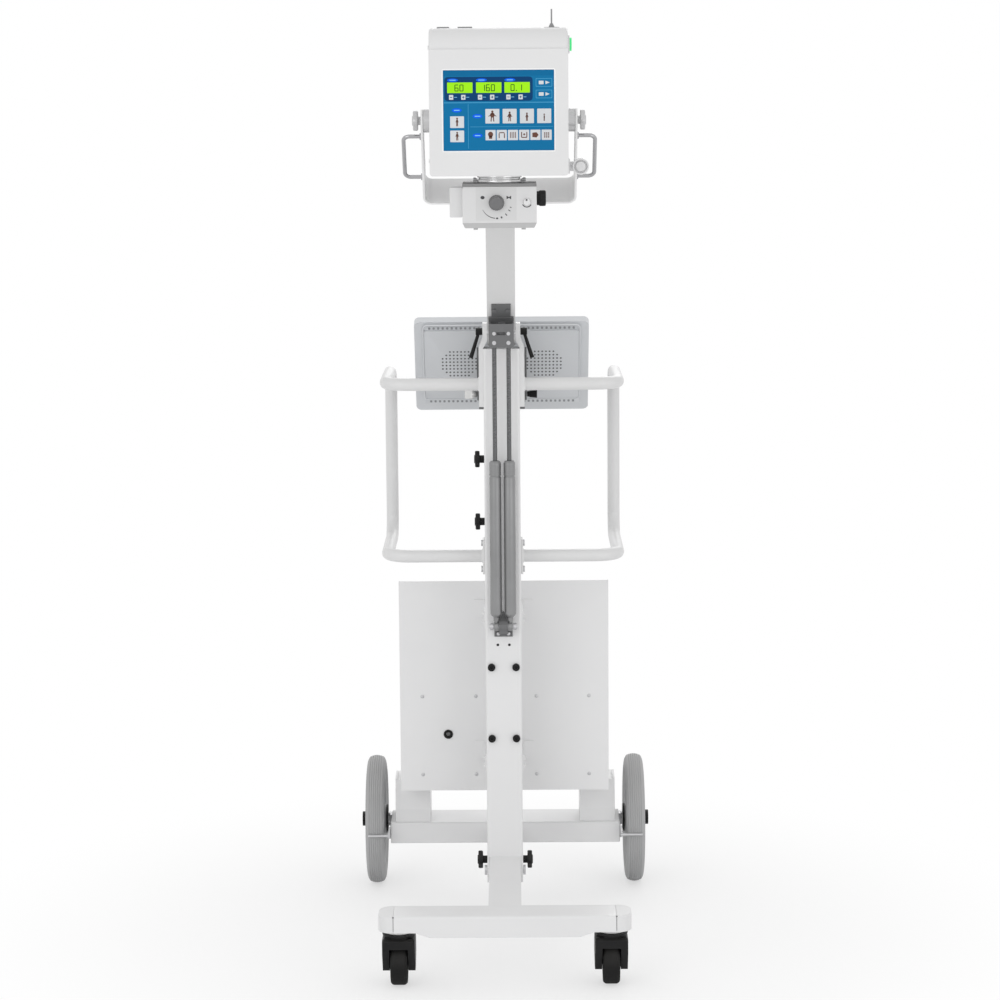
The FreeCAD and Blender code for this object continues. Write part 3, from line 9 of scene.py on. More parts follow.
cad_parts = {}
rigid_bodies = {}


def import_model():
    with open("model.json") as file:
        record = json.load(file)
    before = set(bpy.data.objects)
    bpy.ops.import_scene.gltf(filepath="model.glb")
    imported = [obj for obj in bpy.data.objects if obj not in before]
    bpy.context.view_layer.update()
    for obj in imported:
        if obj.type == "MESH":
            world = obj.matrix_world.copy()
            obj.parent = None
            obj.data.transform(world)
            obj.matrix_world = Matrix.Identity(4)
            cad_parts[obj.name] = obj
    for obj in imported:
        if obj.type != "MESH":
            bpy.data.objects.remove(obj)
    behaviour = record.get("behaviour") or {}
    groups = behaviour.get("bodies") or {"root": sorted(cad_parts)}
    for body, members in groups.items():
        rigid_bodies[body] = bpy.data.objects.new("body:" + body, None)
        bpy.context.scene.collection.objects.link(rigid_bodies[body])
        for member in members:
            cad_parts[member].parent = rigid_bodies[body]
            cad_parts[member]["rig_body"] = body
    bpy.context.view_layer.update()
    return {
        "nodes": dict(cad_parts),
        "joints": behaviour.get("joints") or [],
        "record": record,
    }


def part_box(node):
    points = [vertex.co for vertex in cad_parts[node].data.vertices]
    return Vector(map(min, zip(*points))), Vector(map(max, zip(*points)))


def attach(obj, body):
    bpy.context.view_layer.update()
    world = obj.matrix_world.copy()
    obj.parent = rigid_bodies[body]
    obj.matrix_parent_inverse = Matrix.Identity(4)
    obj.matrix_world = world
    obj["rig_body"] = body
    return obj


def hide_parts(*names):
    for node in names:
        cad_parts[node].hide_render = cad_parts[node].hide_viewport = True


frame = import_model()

mm = 0.001
slotOf = {row["node"]: row["material_slot"] for row in frame["record"]["subparts"]}
jointOf = {joint["name"]: joint for joint in frame["joints"]}
sides = {"left": -1, "right": 1}


def jointPlace(name):
    return np.array(jointOf[name]["pos_m"])


def nodeBox(name):
    low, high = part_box(name)
    return np.array(low), np.array(high)


# Camera, light and floor

view = {
    "focalPixels": 2900.0,   # on a frame of 1000 pixels
    "place": (0.0177, -5.161, 1.536),
    "yaw": 0.247,
    "pitch": -8.27,
    "roll": -0.4375,
}


def makeCamera():
    data = bpy.data.cameras.new("photoCamera")
    data.sensor_width = 36.0
    data.lens = view["focalPixels"] / 1000.0 * data.sensor_width
    data.clip_end = 60.0
    camera = bpy.data.objects.new("photoCamera", data)
    bpy.context.scene.collection.objects.link(camera)
    yaw = Matrix.Rotation(math.radians(view["yaw"]), 4, "Z")
    pitch = Matrix.Rotation(math.radians(90 + view["pitch"]), 4, "X")
    roll = Matrix.Rotation(math.radians(view["roll"]), 4, "Z")
    camera.matrix_world = Matrix.Translation(view["place"]) @ yaw @ pitch @ roll
    bpy.context.scene.camera = camera


lamps = {
    "key": {"place": (-2.2, -3.6, 2.0), "size": 3.0, "power": 25.0},
    "fill": {"place": (2.6, -3.4, 0.8), "size": 3.0, "power": 19.0},
    "back": {"place": (0.4, 3.2, 2.6), "size": 2.4, "power": 24.0},
}
worldLevel = 0.79


def makeLights():
    for name, lamp in lamps.items():
        data = bpy.data.lights.new(name + "Lamp", "AREA")
        data.shape = "DISK"
        data.size = lamp["size"]
        data.energy = lamp["power"]
        item = bpy.data.objects.new(name + "Lamp", data)
        item.location = lamp["place"]
        aim = Vector((0, 0, 0.8)) - Vector(lamp["place"])
        item.rotation_euler = aim.to_track_quat("-Z", "Y").to_euler()
        bpy.context.scene.collection.objects.link(item)
    world = bpy.data.worlds.new("studio")
    bpy.context.scene.world = world
    world.use_nodes = True
    tree = world.node_tree
    background = tree.nodes["Background"]
    rays = tree.nodes.new("ShaderNodeLightPath")
    seen = tree.nodes.new("ShaderNodeMath")
    seen.operation = "MAXIMUM"
    level = tree.nodes.new("ShaderNodeMix")
    level.inputs["A"].default_value = worldLevel
    level.inputs["B"].default_value = 1.0
    tree.links.new(rays.outputs["Is Camera Ray"], seen.inputs[0])
    tree.links.new(rays.outputs["Is Transmission Ray"], seen.inputs[1])
    mirrored = tree.nodes.new("ShaderNodeMath")
    mirrored.operation = "MAXIMUM"
    tree.links.new(seen.outputs[0], mirrored.inputs[0])
    tree.links.new(rays.outputs["Is Glossy Ray"], mirrored.inputs[1])
    tree.links.new(mirrored.outputs[0], level.inputs["Factor"])
    tree.links.new(level.outputs["Result"], background.inputs["Strength"])
    background.inputs["Color"].default_value = (1, 1, 1, 1)


def makeFloor():
    # pale floor near the stand, which turns to plain white further out for the camera alone
    size = 40.0
    mesh = bpy.data.meshes.new("floor")
    corners = [(-size, -size, 0), (size, -size, 0), (size, size, 0), (-size, size, 0)]
    mesh.from_pydata(corners, [], [(0, 1, 2, 3)])
    floor = bpy.data.objects.new("floor", mesh)
    bpy.context.scene.collection.objects.link(floor)
    paper = bpy.data.materials.new("floorPaper")
    paper.use_nodes = True
    tree = paper.node_tree
    tree.nodes.clear()
    out = tree.nodes.new("ShaderNodeOutputMaterial")
    diffuse = tree.nodes.new("ShaderNodeBsdfDiffuse")
    diffuse.inputs["Color"].default_value = (0.93, 0.93, 0.93, 1)
    white = tree.nodes.new("ShaderNodeEmission")
    white.inputs["Color"].default_value = (1, 1, 1, 1)
    mix = tree.nodes.new("ShaderNodeMixShader")
    where = tree.nodes.new("ShaderNodeTexCoord")
    length = tree.nodes.new("ShaderNodeVectorMath")
    length.operation = "LENGTH"
    fade = tree.nodes.new("ShaderNodeMapRange")
    fade.interpolation_type = "SMOOTHSTEP"
    fade.inputs["From Min"].default_value = 0.35
    fade.inputs["From Max"].default_value = 1.1
    fade.inputs["To Min"].default_value = 0.55
    rays = tree.nodes.new("ShaderNodeLightPath")
    seen = tree.nodes.new("ShaderNodeMath")
    seen.operation = "MAXIMUM"
    clear = tree.nodes.new("ShaderNodeMath")
    clear.operation = "MAXIMUM"
    whiteness = tree.nodes.new("ShaderNodeMath")
    whiteness.operation = "MULTIPLY"
    tree.links.new(where.outputs["Object"], length.inputs[0])
    tree.links.new(length.outputs["Value"], fade.inputs["Value"])
    tree.links.new(rays.outputs["Is Camera Ray"], seen.inputs[0])
    tree.links.new(rays.outputs["Is Glossy Ray"], seen.inputs[1])
    tree.links.new(seen.outputs[0], clear.inputs[0])
    tree.links.new(rays.outputs["Is Transmission Ray"], clear.inputs[1])
    tree.links.new(fade.outputs["Result"], whiteness.inputs[0])
    tree.links.new(clear.outputs[0], whiteness.inputs[1])
    tree.links.new(whiteness.outputs[0], mix.inputs["Fac"])
    tree.links.new(diffuse.outputs[0], mix.inputs[1])
    tree.links.new(white.outputs[0], mix.inputs[2])
    tree.links.new(mix.outputs[0], out.inputs["Surface"])
    mesh.materials.append(paper)


makeCamera()
makeLights()
makeFloor()
bpy.context.scene.view_settings.view_transform = "Standard"
print("camera, lamps and floor are set")


# Shader groups that several finishes share

def addNode(tree, kind, **settings):
    item = tree.nodes.new(kind)
    for key, value in settings.items():
        setattr(item, key, value)
    return item


def newGroup(name, inputs, outputs):
    tree = bpy.data.node_groups.new(name, "ShaderNodeTree")
    for label, kind, value in inputs:
        socket = tree.interface.new_socket(label, in_out="INPUT", socket_type="NodeSocket" + kind)
        socket.default_value = value
    for label, kind in outputs:
        tree.interface.new_socket(label, in_out="OUTPUT", socket_type="NodeSocket" + kind)
    return tree, tree.nodes.new("NodeGroupInput"), tree.nodes.new("NodeGroupOutput")


def mathNode(tree, operation, first, second=None, clamp=False):
    item = addNode(tree, "ShaderNodeMath", operation=operation, use_clamp=clamp)
    for socket, value in ((0, first), (1, second)):
        if value is None:
            continue
        if isinstance(value, (int, float)):
            item.inputs[socket].default_value = value
        else:
            tree.links.new(value, item.inputs[socket])
    return item.outputs[0]


def mixColour(tree, factor, first, second, kind="MIX"):
    item = addNode(tree, "ShaderNodeMix", data_type="RGBA", blend_type=kind)
    for socket, value in ((item.inputs["Factor"], factor), (item.inputs[6], first),
                          (item.inputs[7], second)):
        if isinstance(value, (int, float, tuple)):
            socket.default_value = value
        else:
            tree.links.new(value, socket)
    return item.outputs[2]


def grainGroup():
    # fine grain in height and gloss, and broad soft clouds in the colour
    tree, entry, leave = newGroup("surfaceGrain", [
        ("Color", "Color", (0.8, 0.8, 0.8, 1)), ("Tint", "Color", (0.6, 0.6, 0.6, 1)),
        ("Clouding", "Float", 0.2),
        ("Grain Size", "Float", 900.0), ("Cloud Size", "Float", 7.0), ("Roughness", "Float", 0.4),
        ("Gloss Change", "Float", 0.08), ("Depth", "Float", 0.00004), ("Stretch", "Vector", (1, 1, 1))],
        [("Color", "Color"), ("Roughness", "Float"), ("Normal", "Vector"), ("Grain", "Float")])
    where = addNode(tree, "ShaderNodeTexCoord")
    stretched = addNode(tree, "ShaderNodeVectorMath", operation="MULTIPLY")
    tree.links.new(where.outputs["Object"], stretched.inputs[0])
    tree.links.new(entry.outputs["Stretch"], stretched.inputs[1])
    grain = addNode(tree, "ShaderNodeTexNoise")
    grain.inputs["Detail"].default_value = 3.0
    tree.links.new(stretched.outputs[0], grain.inputs["Vector"])
    tree.links.new(entry.outputs["Grain Size"], grain.inputs["Scale"])
    clouds = addNode(tree, "ShaderNodeTexNoise")
    clouds.inputs["Detail"].default_value = 4.0
    tree.links.new(where.outputs["Object"], clouds.inputs["Vector"])
    tree.links.new(entry.outputs["Cloud Size"], clouds.inputs["Scale"])
    soft = addNode(tree, "ShaderNodeMapRange", interpolation_type="SMOOTHSTEP")
    soft.inputs["From Min"].default_value = 0.35
    soft.inputs["From Max"].default_value = 0.75
    tree.links.new(clouds.outputs["Fac"], soft.inputs["Value"])
    amount = mathNode(tree, "MULTIPLY", soft.outputs["Result"], entry.outputs["Clouding"])
    tree.links.new(mixColour(tree, amount, entry.outputs["Color"], entry.outputs["Tint"]),
                   leave.inputs["Color"])
    centred = mathNode(tree, "SUBTRACT", grain.outputs["Fac"], 0.5)
    swing = mathNode(tree, "MULTIPLY", centred, entry.outputs["Gloss Change"])
    patch = mathNode(tree, "MULTIPLY", amount, 0.25)
    rough = mathNode(tree, "ADD", mathNode(tree, "ADD", entry.outputs["Roughness"], swing), patch,
                     clamp=True)
    tree.links.new(rough, leave.inputs["Roughness"])
    bump = addNode(tree, "ShaderNodeBump")
    tree.links.new(grain.outputs["Fac"], bump.inputs["Height"])
    tree.links.new(entry.outputs["Depth"], bump.inputs["Distance"])
    tree.links.new(bump.outputs["Normal"], leave.inputs["Normal"])
    tree.links.new(grain.outputs["Fac"], leave.inputs["Grain"])
    return tree


def wearSheenAndDustGroup():
    # edges turned to another tone, found where a rounded normal leaves the true one: rubbed wear on dark and
    # metal finishes, a painted highlight on light ones; and dust on upward faces
    tree, entry, leave = newGroup("edgesAndDust", [
        ("Color", "Color", (0.8, 0.8, 0.8, 1)), ("Edge Color", "Color", (0.9, 0.9, 0.9, 1)),
        ("Edge Amount", "Float", 0.4),
        ("Edge Width", "Float", 0.0012), ("Dust Color", "Color", (0.6, 0.58, 0.55, 1)),
        ("Dust Amount", "Float", 0.1)],
        [("Color", "Color"), ("Edge", "Float")])
    bevel = addNode(tree, "ShaderNodeBevel", samples=4)
    tree.links.new(entry.outputs["Edge Width"], bevel.inputs["Radius"])
    shape = addNode(tree, "ShaderNodeNewGeometry")
    dot = addNode(tree, "ShaderNodeVectorMath", operation="DOT_PRODUCT")
    tree.links.new(bevel.outputs["Normal"], dot.inputs[0])
    tree.links.new(shape.outputs["Normal"], dot.inputs[1])
    edge = addNode(tree, "ShaderNodeMapRange")
    edge.inputs["From Min"].default_value = 0.995
    edge.inputs["From Max"].default_value = 0.88
    tree.links.new(dot.outputs["Value"], edge.inputs["Value"])
    where = addNode(tree, "ShaderNodeTexCoord")
    ragged = addNode(tree, "ShaderNodeTexNoise")
    ragged.inputs["Scale"].default_value = 130.0
    ragged.inputs["Detail"].default_value = 3.0
    tree.links.new(where.outputs["Object"], ragged.inputs["Vector"])
    broken = mathNode(tree, "MULTIPLY", edge.outputs["Result"], ragged.outputs["Fac"])
    edgeMask = mathNode(tree, "MULTIPLY", broken, entry.outputs["Edge Amount"], clamp=True)
    # the edge tone: wear on dark and metal finishes, a painted highlight along the edges of the white, trim
    # and silver ones
    wornOrSheen = mixColour(tree, edgeMask, entry.outputs["Color"], entry.outputs["Edge Color"])
    parts = addNode(tree, "ShaderNodeSeparateXYZ")
    tree.links.new(shape.outputs["Normal"], parts.inputs[0])
    up = mathNode(tree, "MAXIMUM", parts.outputs["Z"], 0.0)
    drift = addNode(tree, "ShaderNodeTexNoise")
    drift.inputs["Scale"].default_value = 24.0
    drift.inputs["Detail"].default_value = 5.0
    tree.links.new(where.outputs["Object"], drift.inputs["Vector"])
    settled = mathNode(tree, "MULTIPLY", mathNode(tree, "MULTIPLY", up, drift.outputs["Fac"]),
                       entry.outputs["Dust Amount"])
    tree.links.new(mixColour(tree, settled, wornOrSheen, entry.outputs["Dust Color"]), leave.inputs["Color"])
    tree.links.new(edgeMask, leave.inputs["Edge"])
    return tree


surfaceGrain = grainGroup()
edgesAndDust = wearSheenAndDustGroup()


# One finish per slot of the record: colours are linear, sizes are in metres or cycles per metre

# an edge tone lighter than the colour on white_paint, white_plastic, head_trim and monitor_silver is a
# painted highlight along their edges; on the other finishes it is wear
finishes = {
    "white_paint": {"color": (0.80, 0.80, 0.803), "tint": (0.72, 0.722, 0.73), "clouding": 0.22,
                    "grain": 1100, "rough": 0.36,
                    "gloss": 0.16, "depth": 0.00005, "edge": (0.92, 0.92, 0.92), "edgeAmount": 0.5,
                    "dust": 0.10, "coat": 0.12},
    "white_plastic": {"color": (0.765, 0.765, 0.768), "tint": (0.70, 0.70, 0.705), "clouding": 0.18,
                      "grain": 1600, "rough": 0.42,
                      "gloss": 0.10, "depth": 0.00003, "edge": (0.93, 0.93, 0.93), "edgeAmount": 0.4,
                      "dust": 0.08},
    "head_trim": {"color": (0.74, 0.74, 0.745), "tint": (0.62, 0.62, 0.63), "clouding": 0.3, "grain": 1500,
                  "rough": 0.35,
                  "gloss": 0.10, "depth": 0.00003, "edge": (0.9, 0.9, 0.9), "edgeAmount": 0.4, "dust": 0.06},
    "steel": {"color": (0.58, 0.58, 0.59), "tint": (0.42, 0.42, 0.44), "clouding": 0.4, "grain": 900,
              "rough": 0.33,
              "gloss": 0.25, "depth": 0.00002, "metallic": 1.0, "edge": (0.8, 0.8, 0.8), "edgeAmount": 0.4,
              "dust": 0.08},
    "bright_steel": {"color": (0.66, 0.66, 0.67), "tint": (0.55, 0.55, 0.56), "clouding": 0.2, "grain": 400,
                     "rough": 0.12,
                     "gloss": 0.10, "depth": 0.000006, "metallic": 1.0, "edge": (0.9, 0.9, 0.9),
                     "edgeAmount": 0.2, "dust": 0.03},
    "rod_steel": {"color": (0.135, 0.137, 0.14), "tint": (0.09, 0.09, 0.092), "clouding": 0.4, "grain": 500,
                  "rough": 0.26,
                  "gloss": 0.15, "depth": 0.00001, "metallic": 0.7, "edge": (0.4, 0.4, 0.4),
                  "edgeAmount": 0.3, "dust": 0.02},
    "grey_tyre": {"color": (0.41, 0.412, 0.415), "tint": (0.33, 0.33, 0.335), "clouding": 0.6, "grain": 700,
                  "rough": 0.72,
                  "gloss": 0.18, "depth": 0.00012, "edge": (0.56, 0.56, 0.56), "edgeAmount": 0.5,
                  "dust": 0.18},
    "wheel_grey": {"color": (0.42, 0.425, 0.43), "tint": (0.34, 0.34, 0.345), "clouding": 0.4, "grain": 1200,
                   "rough": 0.5,
                   "gloss": 0.12, "depth": 0.00005, "edge": (0.55, 0.55, 0.55), "edgeAmount": 0.4,
                   "dust": 0.12},
    "black_plastic": {"color": (0.009, 0.009, 0.0095), "tint": (0.018, 0.018, 0.018), "clouding": 0.5,
                      "grain": 1500, "rough": 0.42,
                      "gloss": 0.22, "depth": 0.00006, "edge": (0.09, 0.09, 0.09), "edgeAmount": 0.7,
                      "dust": 0.05, "specular": 0.18},
    "black_rubber": {"color": (0.009, 0.009, 0.009), "tint": (0.018, 0.0175, 0.017), "clouding": 0.6,
                     "grain": 1100, "rough": 0.66,
                     "gloss": 0.2, "depth": 0.0001, "edge": (0.06, 0.06, 0.06), "edgeAmount": 0.5,
                     "dust": 0.08, "specular": 0.18},
    "black_steel": {"color": (0.009, 0.009, 0.0095), "tint": (0.016, 0.016, 0.016), "clouding": 0.4,
                    "grain": 1200, "rough": 0.36,
                    "gloss": 0.2, "depth": 0.00003, "edge": (0.12, 0.12, 0.12), "edgeAmount": 0.5,
                    "dust": 0.03, "specular": 0.2},
    "dark_bracket": {"color": (0.155, 0.157, 0.16), "tint": (0.17, 0.17, 0.175), "clouding": 0.5,
                     "grain": 1300, "rough": 0.4,
                     "gloss": 0.2, "depth": 0.00005, "metallic": 0.35, "edge": (0.3, 0.3, 0.3),
                     "edgeAmount": 0.6, "dust": 0.05},
    "grey_spring": {"color": (0.295, 0.297, 0.30), "tint": (0.19, 0.19, 0.193), "clouding": 0.5,
                    "grain": 600, "rough": 0.30,
                    "gloss": 0.2, "depth": 0.00002, "metallic": 0.55, "edge": (0.4, 0.4, 0.4),
                    "edgeAmount": 0.3, "dust": 0.03,
                    "stretch": (1, 1, 0.05)},
    "grey_knob": {"color": (0.58, 0.58, 0.585), "tint": (0.46, 0.46, 0.465), "clouding": 0.4, "grain": 1300,
                  "rough": 0.3,
                  "gloss": 0.2, "depth": 0.00004, "metallic": 0.75, "edge": (0.6, 0.6, 0.6),
                  "edgeAmount": 0.5, "dust": 0.04},
    "screen": {"color": (0.02, 0.22, 0.45), "tint": (0.03, 0.28, 0.52), "clouding": 0.3, "grain": 2500,
               "rough": 0.12,
               "gloss": 0.03, "depth": 0.000002, "edge": (0.1, 0.3, 0.5), "edgeAmount": 0.1, "dust": 0.0,
               "glow": 0.35},
    "dial_grey": {"color": (0.15, 0.15, 0.155), "tint": (0.20, 0.20, 0.20), "clouding": 0.4, "grain": 1500,
                  "rough": 0.4,
                  "gloss": 0.16, "depth": 0.00005, "edge": (0.3, 0.3, 0.3), "edgeAmount": 0.5, "dust": 0.03},
    "green_switch": {"color": (0.04, 0.55, 0.16), "tint": (0.06, 0.7, 0.25), "clouding": 0.5, "grain": 1500,
                     "rough": 0.25,
                     "gloss": 0.1, "depth": 0.00002, "edge": (0.3, 0.9, 0.5), "edgeAmount": 0.3, "dust": 0.0,
                     "glow": 0.6},
    "monitor_silver": {"color": (0.66, 0.675, 0.695), "tint": (0.58, 0.595, 0.615), "clouding": 0.35,
                       "grain": 2200, "rough": 0.36,
                       "gloss": 0.2, "depth": 0.00003, "metallic": 0.25, "edge": (0.7, 0.71, 0.73),
                       "edgeAmount": 0.5, "dust": 0.05},
    "monitor_glass": {"color": (0.012, 0.013, 0.016), "tint": (0.02, 0.022, 0.026), "clouding": 0.5,
                      "grain": 2500, "rough": 0.08,
                      "gloss": 0.04, "depth": 0.000002, "edge": (0.05, 0.05, 0.05), "edgeAmount": 0.1,
                      "dust": 0.03},
}


def heightBand(tree, colour, low, high, tone):
    # multiplies the colour by a tone between two heights of the piece
    where = addNode(tree, "ShaderNodeTexCoord")
    parts = addNode(tree, "ShaderNodeSeparateXYZ")
    tree.links.new(where.outputs["Object"], parts.inputs[0])
    above = mathNode(tree, "GREATER_THAN", parts.outputs["Z"], low)
    below = mathNode(tree, "LESS_THAN", parts.outputs["Z"], high)
    inside = mathNode(tree, "MULTIPLY", above, below)
    return mixColour(tree, inside, colour, (tone, tone, tone, 1), "MULTIPLY")


def makeFinish(name, look):
    material = bpy.data.materials.new(name)
    material.use_nodes = True
    tree = material.node_tree
    shader = tree.nodes["Principled BSDF"]
    grain = addNode(tree, "ShaderNodeGroup", node_tree=surfaceGrain)
    wear = addNode(tree, "ShaderNodeGroup", node_tree=edgesAndDust)
    grain.inputs["Color"].default_value = (*look["color"], 1)
    grain.inputs["Tint"].default_value = (*look["tint"], 1)
    grain.inputs["Clouding"].default_value = look["clouding"]
    grain.inputs["Grain Size"].default_value = look["grain"]
    grain.inputs["Cloud Size"].default_value = look.get("clouds", 7.0)
    grain.inputs["Roughness"].default_value = look["rough"]
    grain.inputs["Gloss Change"].default_value = look["gloss"]
    grain.inputs["Depth"].default_value = look["depth"]
    grain.inputs["Stretch"].default_value = look.get("stretch", (1, 1, 1))
    wear.inputs["Edge Color"].default_value = (*look["edge"], 1)
    wear.inputs["Edge Amount"].default_value = look["edgeAmount"]
    wear.inputs["Dust Amount"].default_value = look["dust"]
    tree.links.new(grain.outputs["Color"], wear.inputs["Color"])
    shade = wear.outputs["Color"]
    for low, high, tone in look.get("bands", ()):
        shade = heightBand(tree, shade, low, high, tone)
    tree.links.new(shade, shader.inputs["Base Color"])
    tree.links.new(grain.outputs["Roughness"], shader.inputs["Roughness"])
    tree.links.new(grain.outputs["Normal"], shader.inputs["Normal"])
    shader.inputs["Metallic"].default_value = look.get("metallic", 0.0)
    shader.inputs["Coat Weight"].default_value = look.get("coat", 0.0)
    shader.inputs["Specular IOR Level"].default_value = look.get("specular", 0.5)
    if "glow" in look:
        tree.links.new(wear.outputs["Color"], shader.inputs["Emission Color"])
        shader.inputs["Emission Strength"].default_value = look["glow"]
    return material


finish = {name: makeFinish(name, look) for name, look in finishes.items()}


def plainFinish(name, color, rough=0.4, glow=0.0, metallic=0.0, specular=0.5):
    # a small printed, lit or dark spot: the shared grain with gentle settings
    look = {"color": color, "tint": tuple(0.8 * c for c in color), "clouding": 0.3, "grain": 1800,
            "rough": rough, "gloss": 0.1,
            "depth": 0.00001, "metallic": metallic, "edge": color, "edgeAmount": 0.1, "dust": 0.0,
            "specular": specular}
    if glow:
        look["glow"] = glow
    return makeFinish(name, look)


print("finishes are made:", len(finish))


# Surfaces

def roundCorners(points, radius, closed=True, steps=5):
    # each corner becomes (1-s)^2 a + 2s(1-s) corner + s^2 b, with a and b a set way along its two sides
    p = np.asarray(points, float)
    before = np.roll(p, 1, axis=0) - p
    after = np.roll(p, -1, axis=0) - p
    lengthBefore = np.linalg.norm(before, axis=1, keepdims=True)
    lengthAfter = np.linalg.norm(after, axis=1, keepdims=True)
    room = 0.47 * np.minimum(lengthBefore, lengthAfter)
    reach = np.minimum(np.broadcast_to(np.asarray(radius, float).reshape(-1, 1), room.shape), room)
    a = p + before / lengthBefore * reach
    b = p + after / lengthAfter * reach
    s = np.linspace(0, 1, steps)[None, :, None]
    curve = (1 - s) ** 2 * a[:, None] + 2 * s * (1 - s) * p[:, None] + s ** 2 * b[:, None]
    if closed:
        return curve.reshape(-1, p.shape[1])
    return np.concatenate([p[:1], curve[1:-1].reshape(-1, p.shape[1]), p[-1:]])


def gridMesh(grid, wrapRows=False, wrapColumns=True, capEnds=False):
    # grid has the shape rows, columns, 3; each square of four neighbours is one face
    rows, columns = grid.shape[:2]
    index = np.arange(rows * columns).reshape(rows, columns)
    if wrapRows:
        index = np.vstack([index, index[:1]])
    if wrapColumns:
        index = np.hstack([index, index[:, :1]])
    quads = np.stack([index[:-1, :-1], index[:-1, 1:], index[1:, 1:], index[1:, :-1]], axis=-1)
    faces = quads.reshape(-1, 4).tolist()
    if capEnds:
        faces += [index[0, :columns].tolist(), index[-1, :columns].tolist()]
    mesh = bpy.data.meshes.new("surface")
    mesh.from_pydata(grid.reshape(-1, 3).tolist(), [], faces)
    return mesh


def lathe(profile, radius=0.0004, turns=64, steps=4, closed=False, lobes=0, depth=0.0, inner=0.0):
    # profile points (r, h) rounded, then turned: x = r cos t, y = r sin t, z = h; with lobes, the rim's
    # radius falls by depth (1 + cos(lobes t)) / 2 where r is more than inner
    line = roundCorners(profile, radius, closed, steps)
    t = np.linspace(0, 2 * math.pi, turns, endpoint=False)[:, None]
    r, h = line[:, 0][None], line[:, 1][None]
    fall = depth * (1 + np.cos(lobes * t)) / 2 * np.clip((r - inner) / max(inner, 1e-6) * 4, 0,
                                                         1) if lobes else 0 * t
    r = r - fall
    grid = np.stack([r * np.cos(t), r * np.sin(t), h + 0 * t], axis=-1)
    return gridMesh(grid, wrapRows=True, wrapColumns=closed)


def prism(outline, low, high, edge=0.0005, steps=4):
    # an outline in x and y between two heights; both rims are drawn in along the outline's normals by
    # edge (1 - cos t) while the height moves by edge sin t
    line = np.asarray(outline, float)
    along = np.roll(line, -1, axis=0) - np.roll(line, 1, axis=0)
    along /= np.linalg.norm(along, axis=1, keepdims=True)
    normal = np.stack([along[:, 1], -along[:, 0]], axis=-1)
    area = np.sum(line[:, 0] * np.roll(line[:, 1], -1) - np.roll(line[:, 0], -1) * line[:, 1])
    normal *= np.sign(area)
    t = np.linspace(0, math.pi / 2, steps)
    inset = np.concatenate([edge * (1 - np.sin(t)), edge * (1 - np.cos(t))])
    height = np.concatenate([low + edge * (1 - np.cos(t)), high - edge * (1 - np.sin(t))])
    flat = line[None] - normal[None] * inset[:, None, None]
    rise = np.broadcast_to(height[:, None, None], flat.shape[:2] + (1,))
    return gridMesh(np.concatenate([flat, rise], axis=-1), capEnds=True)


def bentPath(points, bend, steps=10):
    # straight runs joined by quarter circles: the corner, plus bend (before + after), less
    # bend (after cos t + before sin t)
    p = np.asarray(points, float)
    inner = p[1:-1]
    before = p[:-2] - inner
    after = p[2:] - inner
    before /= np.linalg.norm(before, axis=1, keepdims=True)
    after /= np.linalg.norm(after, axis=1, keepdims=True)
    t = np.linspace(0, math.pi / 2, steps)[None, :, None]
    centre = inner + bend * (before + after)
    arcs = centre[:, None] - bend * (after[:, None] * np.cos(t) + before[:, None] * np.sin(t))
    return np.concatenate([p[:1], arcs.reshape(-1, 3), p[-1:]])


def tube(path, radius, turns=28, reference=(0.53, 0.62, 0.58)):
    # a circle carried along a path, square to it, its frame kept by one slanted reference direction
    p = np.asarray(path, float)
    tangent = np.gradient(p, axis=0)
    tangent /= np.linalg.norm(tangent, axis=1, keepdims=True)
    ref = np.asarray(reference) / np.linalg.norm(reference)
    first = ref - tangent * (tangent @ ref)[:, None]
    first /= np.linalg.norm(first, axis=1, keepdims=True)
    second = np.cross(tangent, first)
    t = np.linspace(0, 2 * math.pi, turns, endpoint=False)
    ring = first[:, None] * np.cos(t)[None, :, None] + second[:, None] * np.sin(t)[None, :, None]
    return gridMesh(p[:, None] + radius * ring, capEnds=True)


def turnTo(axis):
    # turns +Z to another axis
    return Vector((0, 0, 1)).rotation_difference(Vector(axis)).to_matrix().to_4x4()


def moved(mesh, place=(0, 0, 0), axis=(0, 0, 1), twist=0.0):
    mesh.transform(Matrix.Translation(Vector(place)) @ turnTo(axis) @ Matrix.Rotation(math.radians(twist), 4,
                                                                                      "Z"))
    return mesh


def painted(mesh, index):
    mesh.polygons.foreach_set("material_index", np.full(len(mesh.polygons), index, np.int32))
    return mesh


def cleaned(mesh):
    # closes seams and poles and turns the faces outwards
    work = bmesh.new()
    work.from_mesh(mesh)
    bmesh.ops.remove_doubles(work, verts=work.verts, dist=0.000002)
    bmesh.ops.dissolve_degenerate(work, edges=work.edges, dist=0.0000005)
    bmesh.ops.recalc_face_normals(work, faces=work.faces)
    work.to_mesh(mesh)
    work.free()
    return mesh


def finishPiece(name, mesh, materials, node, place=None, bevel=0.0, smooth=32, replaces=()):
    if place is not None:
        mesh.transform(place)
    for material in materials:
        mesh.materials.append(material)
    mesh.shade_smooth()
    mesh.set_sharp_from_angle(angle=math.radians(smooth))
    piece = bpy.data.objects.new(name, mesh)
    bpy.context.scene.collection.objects.link(piece)
    if bevel:
        soft = piece.modifiers.new("softEdges", "BEVEL")
        soft.width = bevel
        soft.segments = 2
        soft.limit_method = "ANGLE"
        soft.angle_limit = math.radians(28)
        soft.harden_normals = True
    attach(piece, frame["nodes"][node]["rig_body"])
    if replaces:
        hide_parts(*replaces)
    return piece


def fromShells(name, shells, materials, node, replaces=(), place=None, bevel=0.0, smooth=32):
    # one piece made of several closed shells, each cleaned by itself
    work = bmesh.new()
    for shell in shells:
        cleaned(shell)
        work.from_mesh(shell)
        bpy.data.meshes.remove(shell)
    mesh = bpy.data.meshes.new(name)
    work.to_mesh(mesh)
    work.free()
    return finishPiece(name, mesh, materials, node, place, bevel, smooth, replaces)


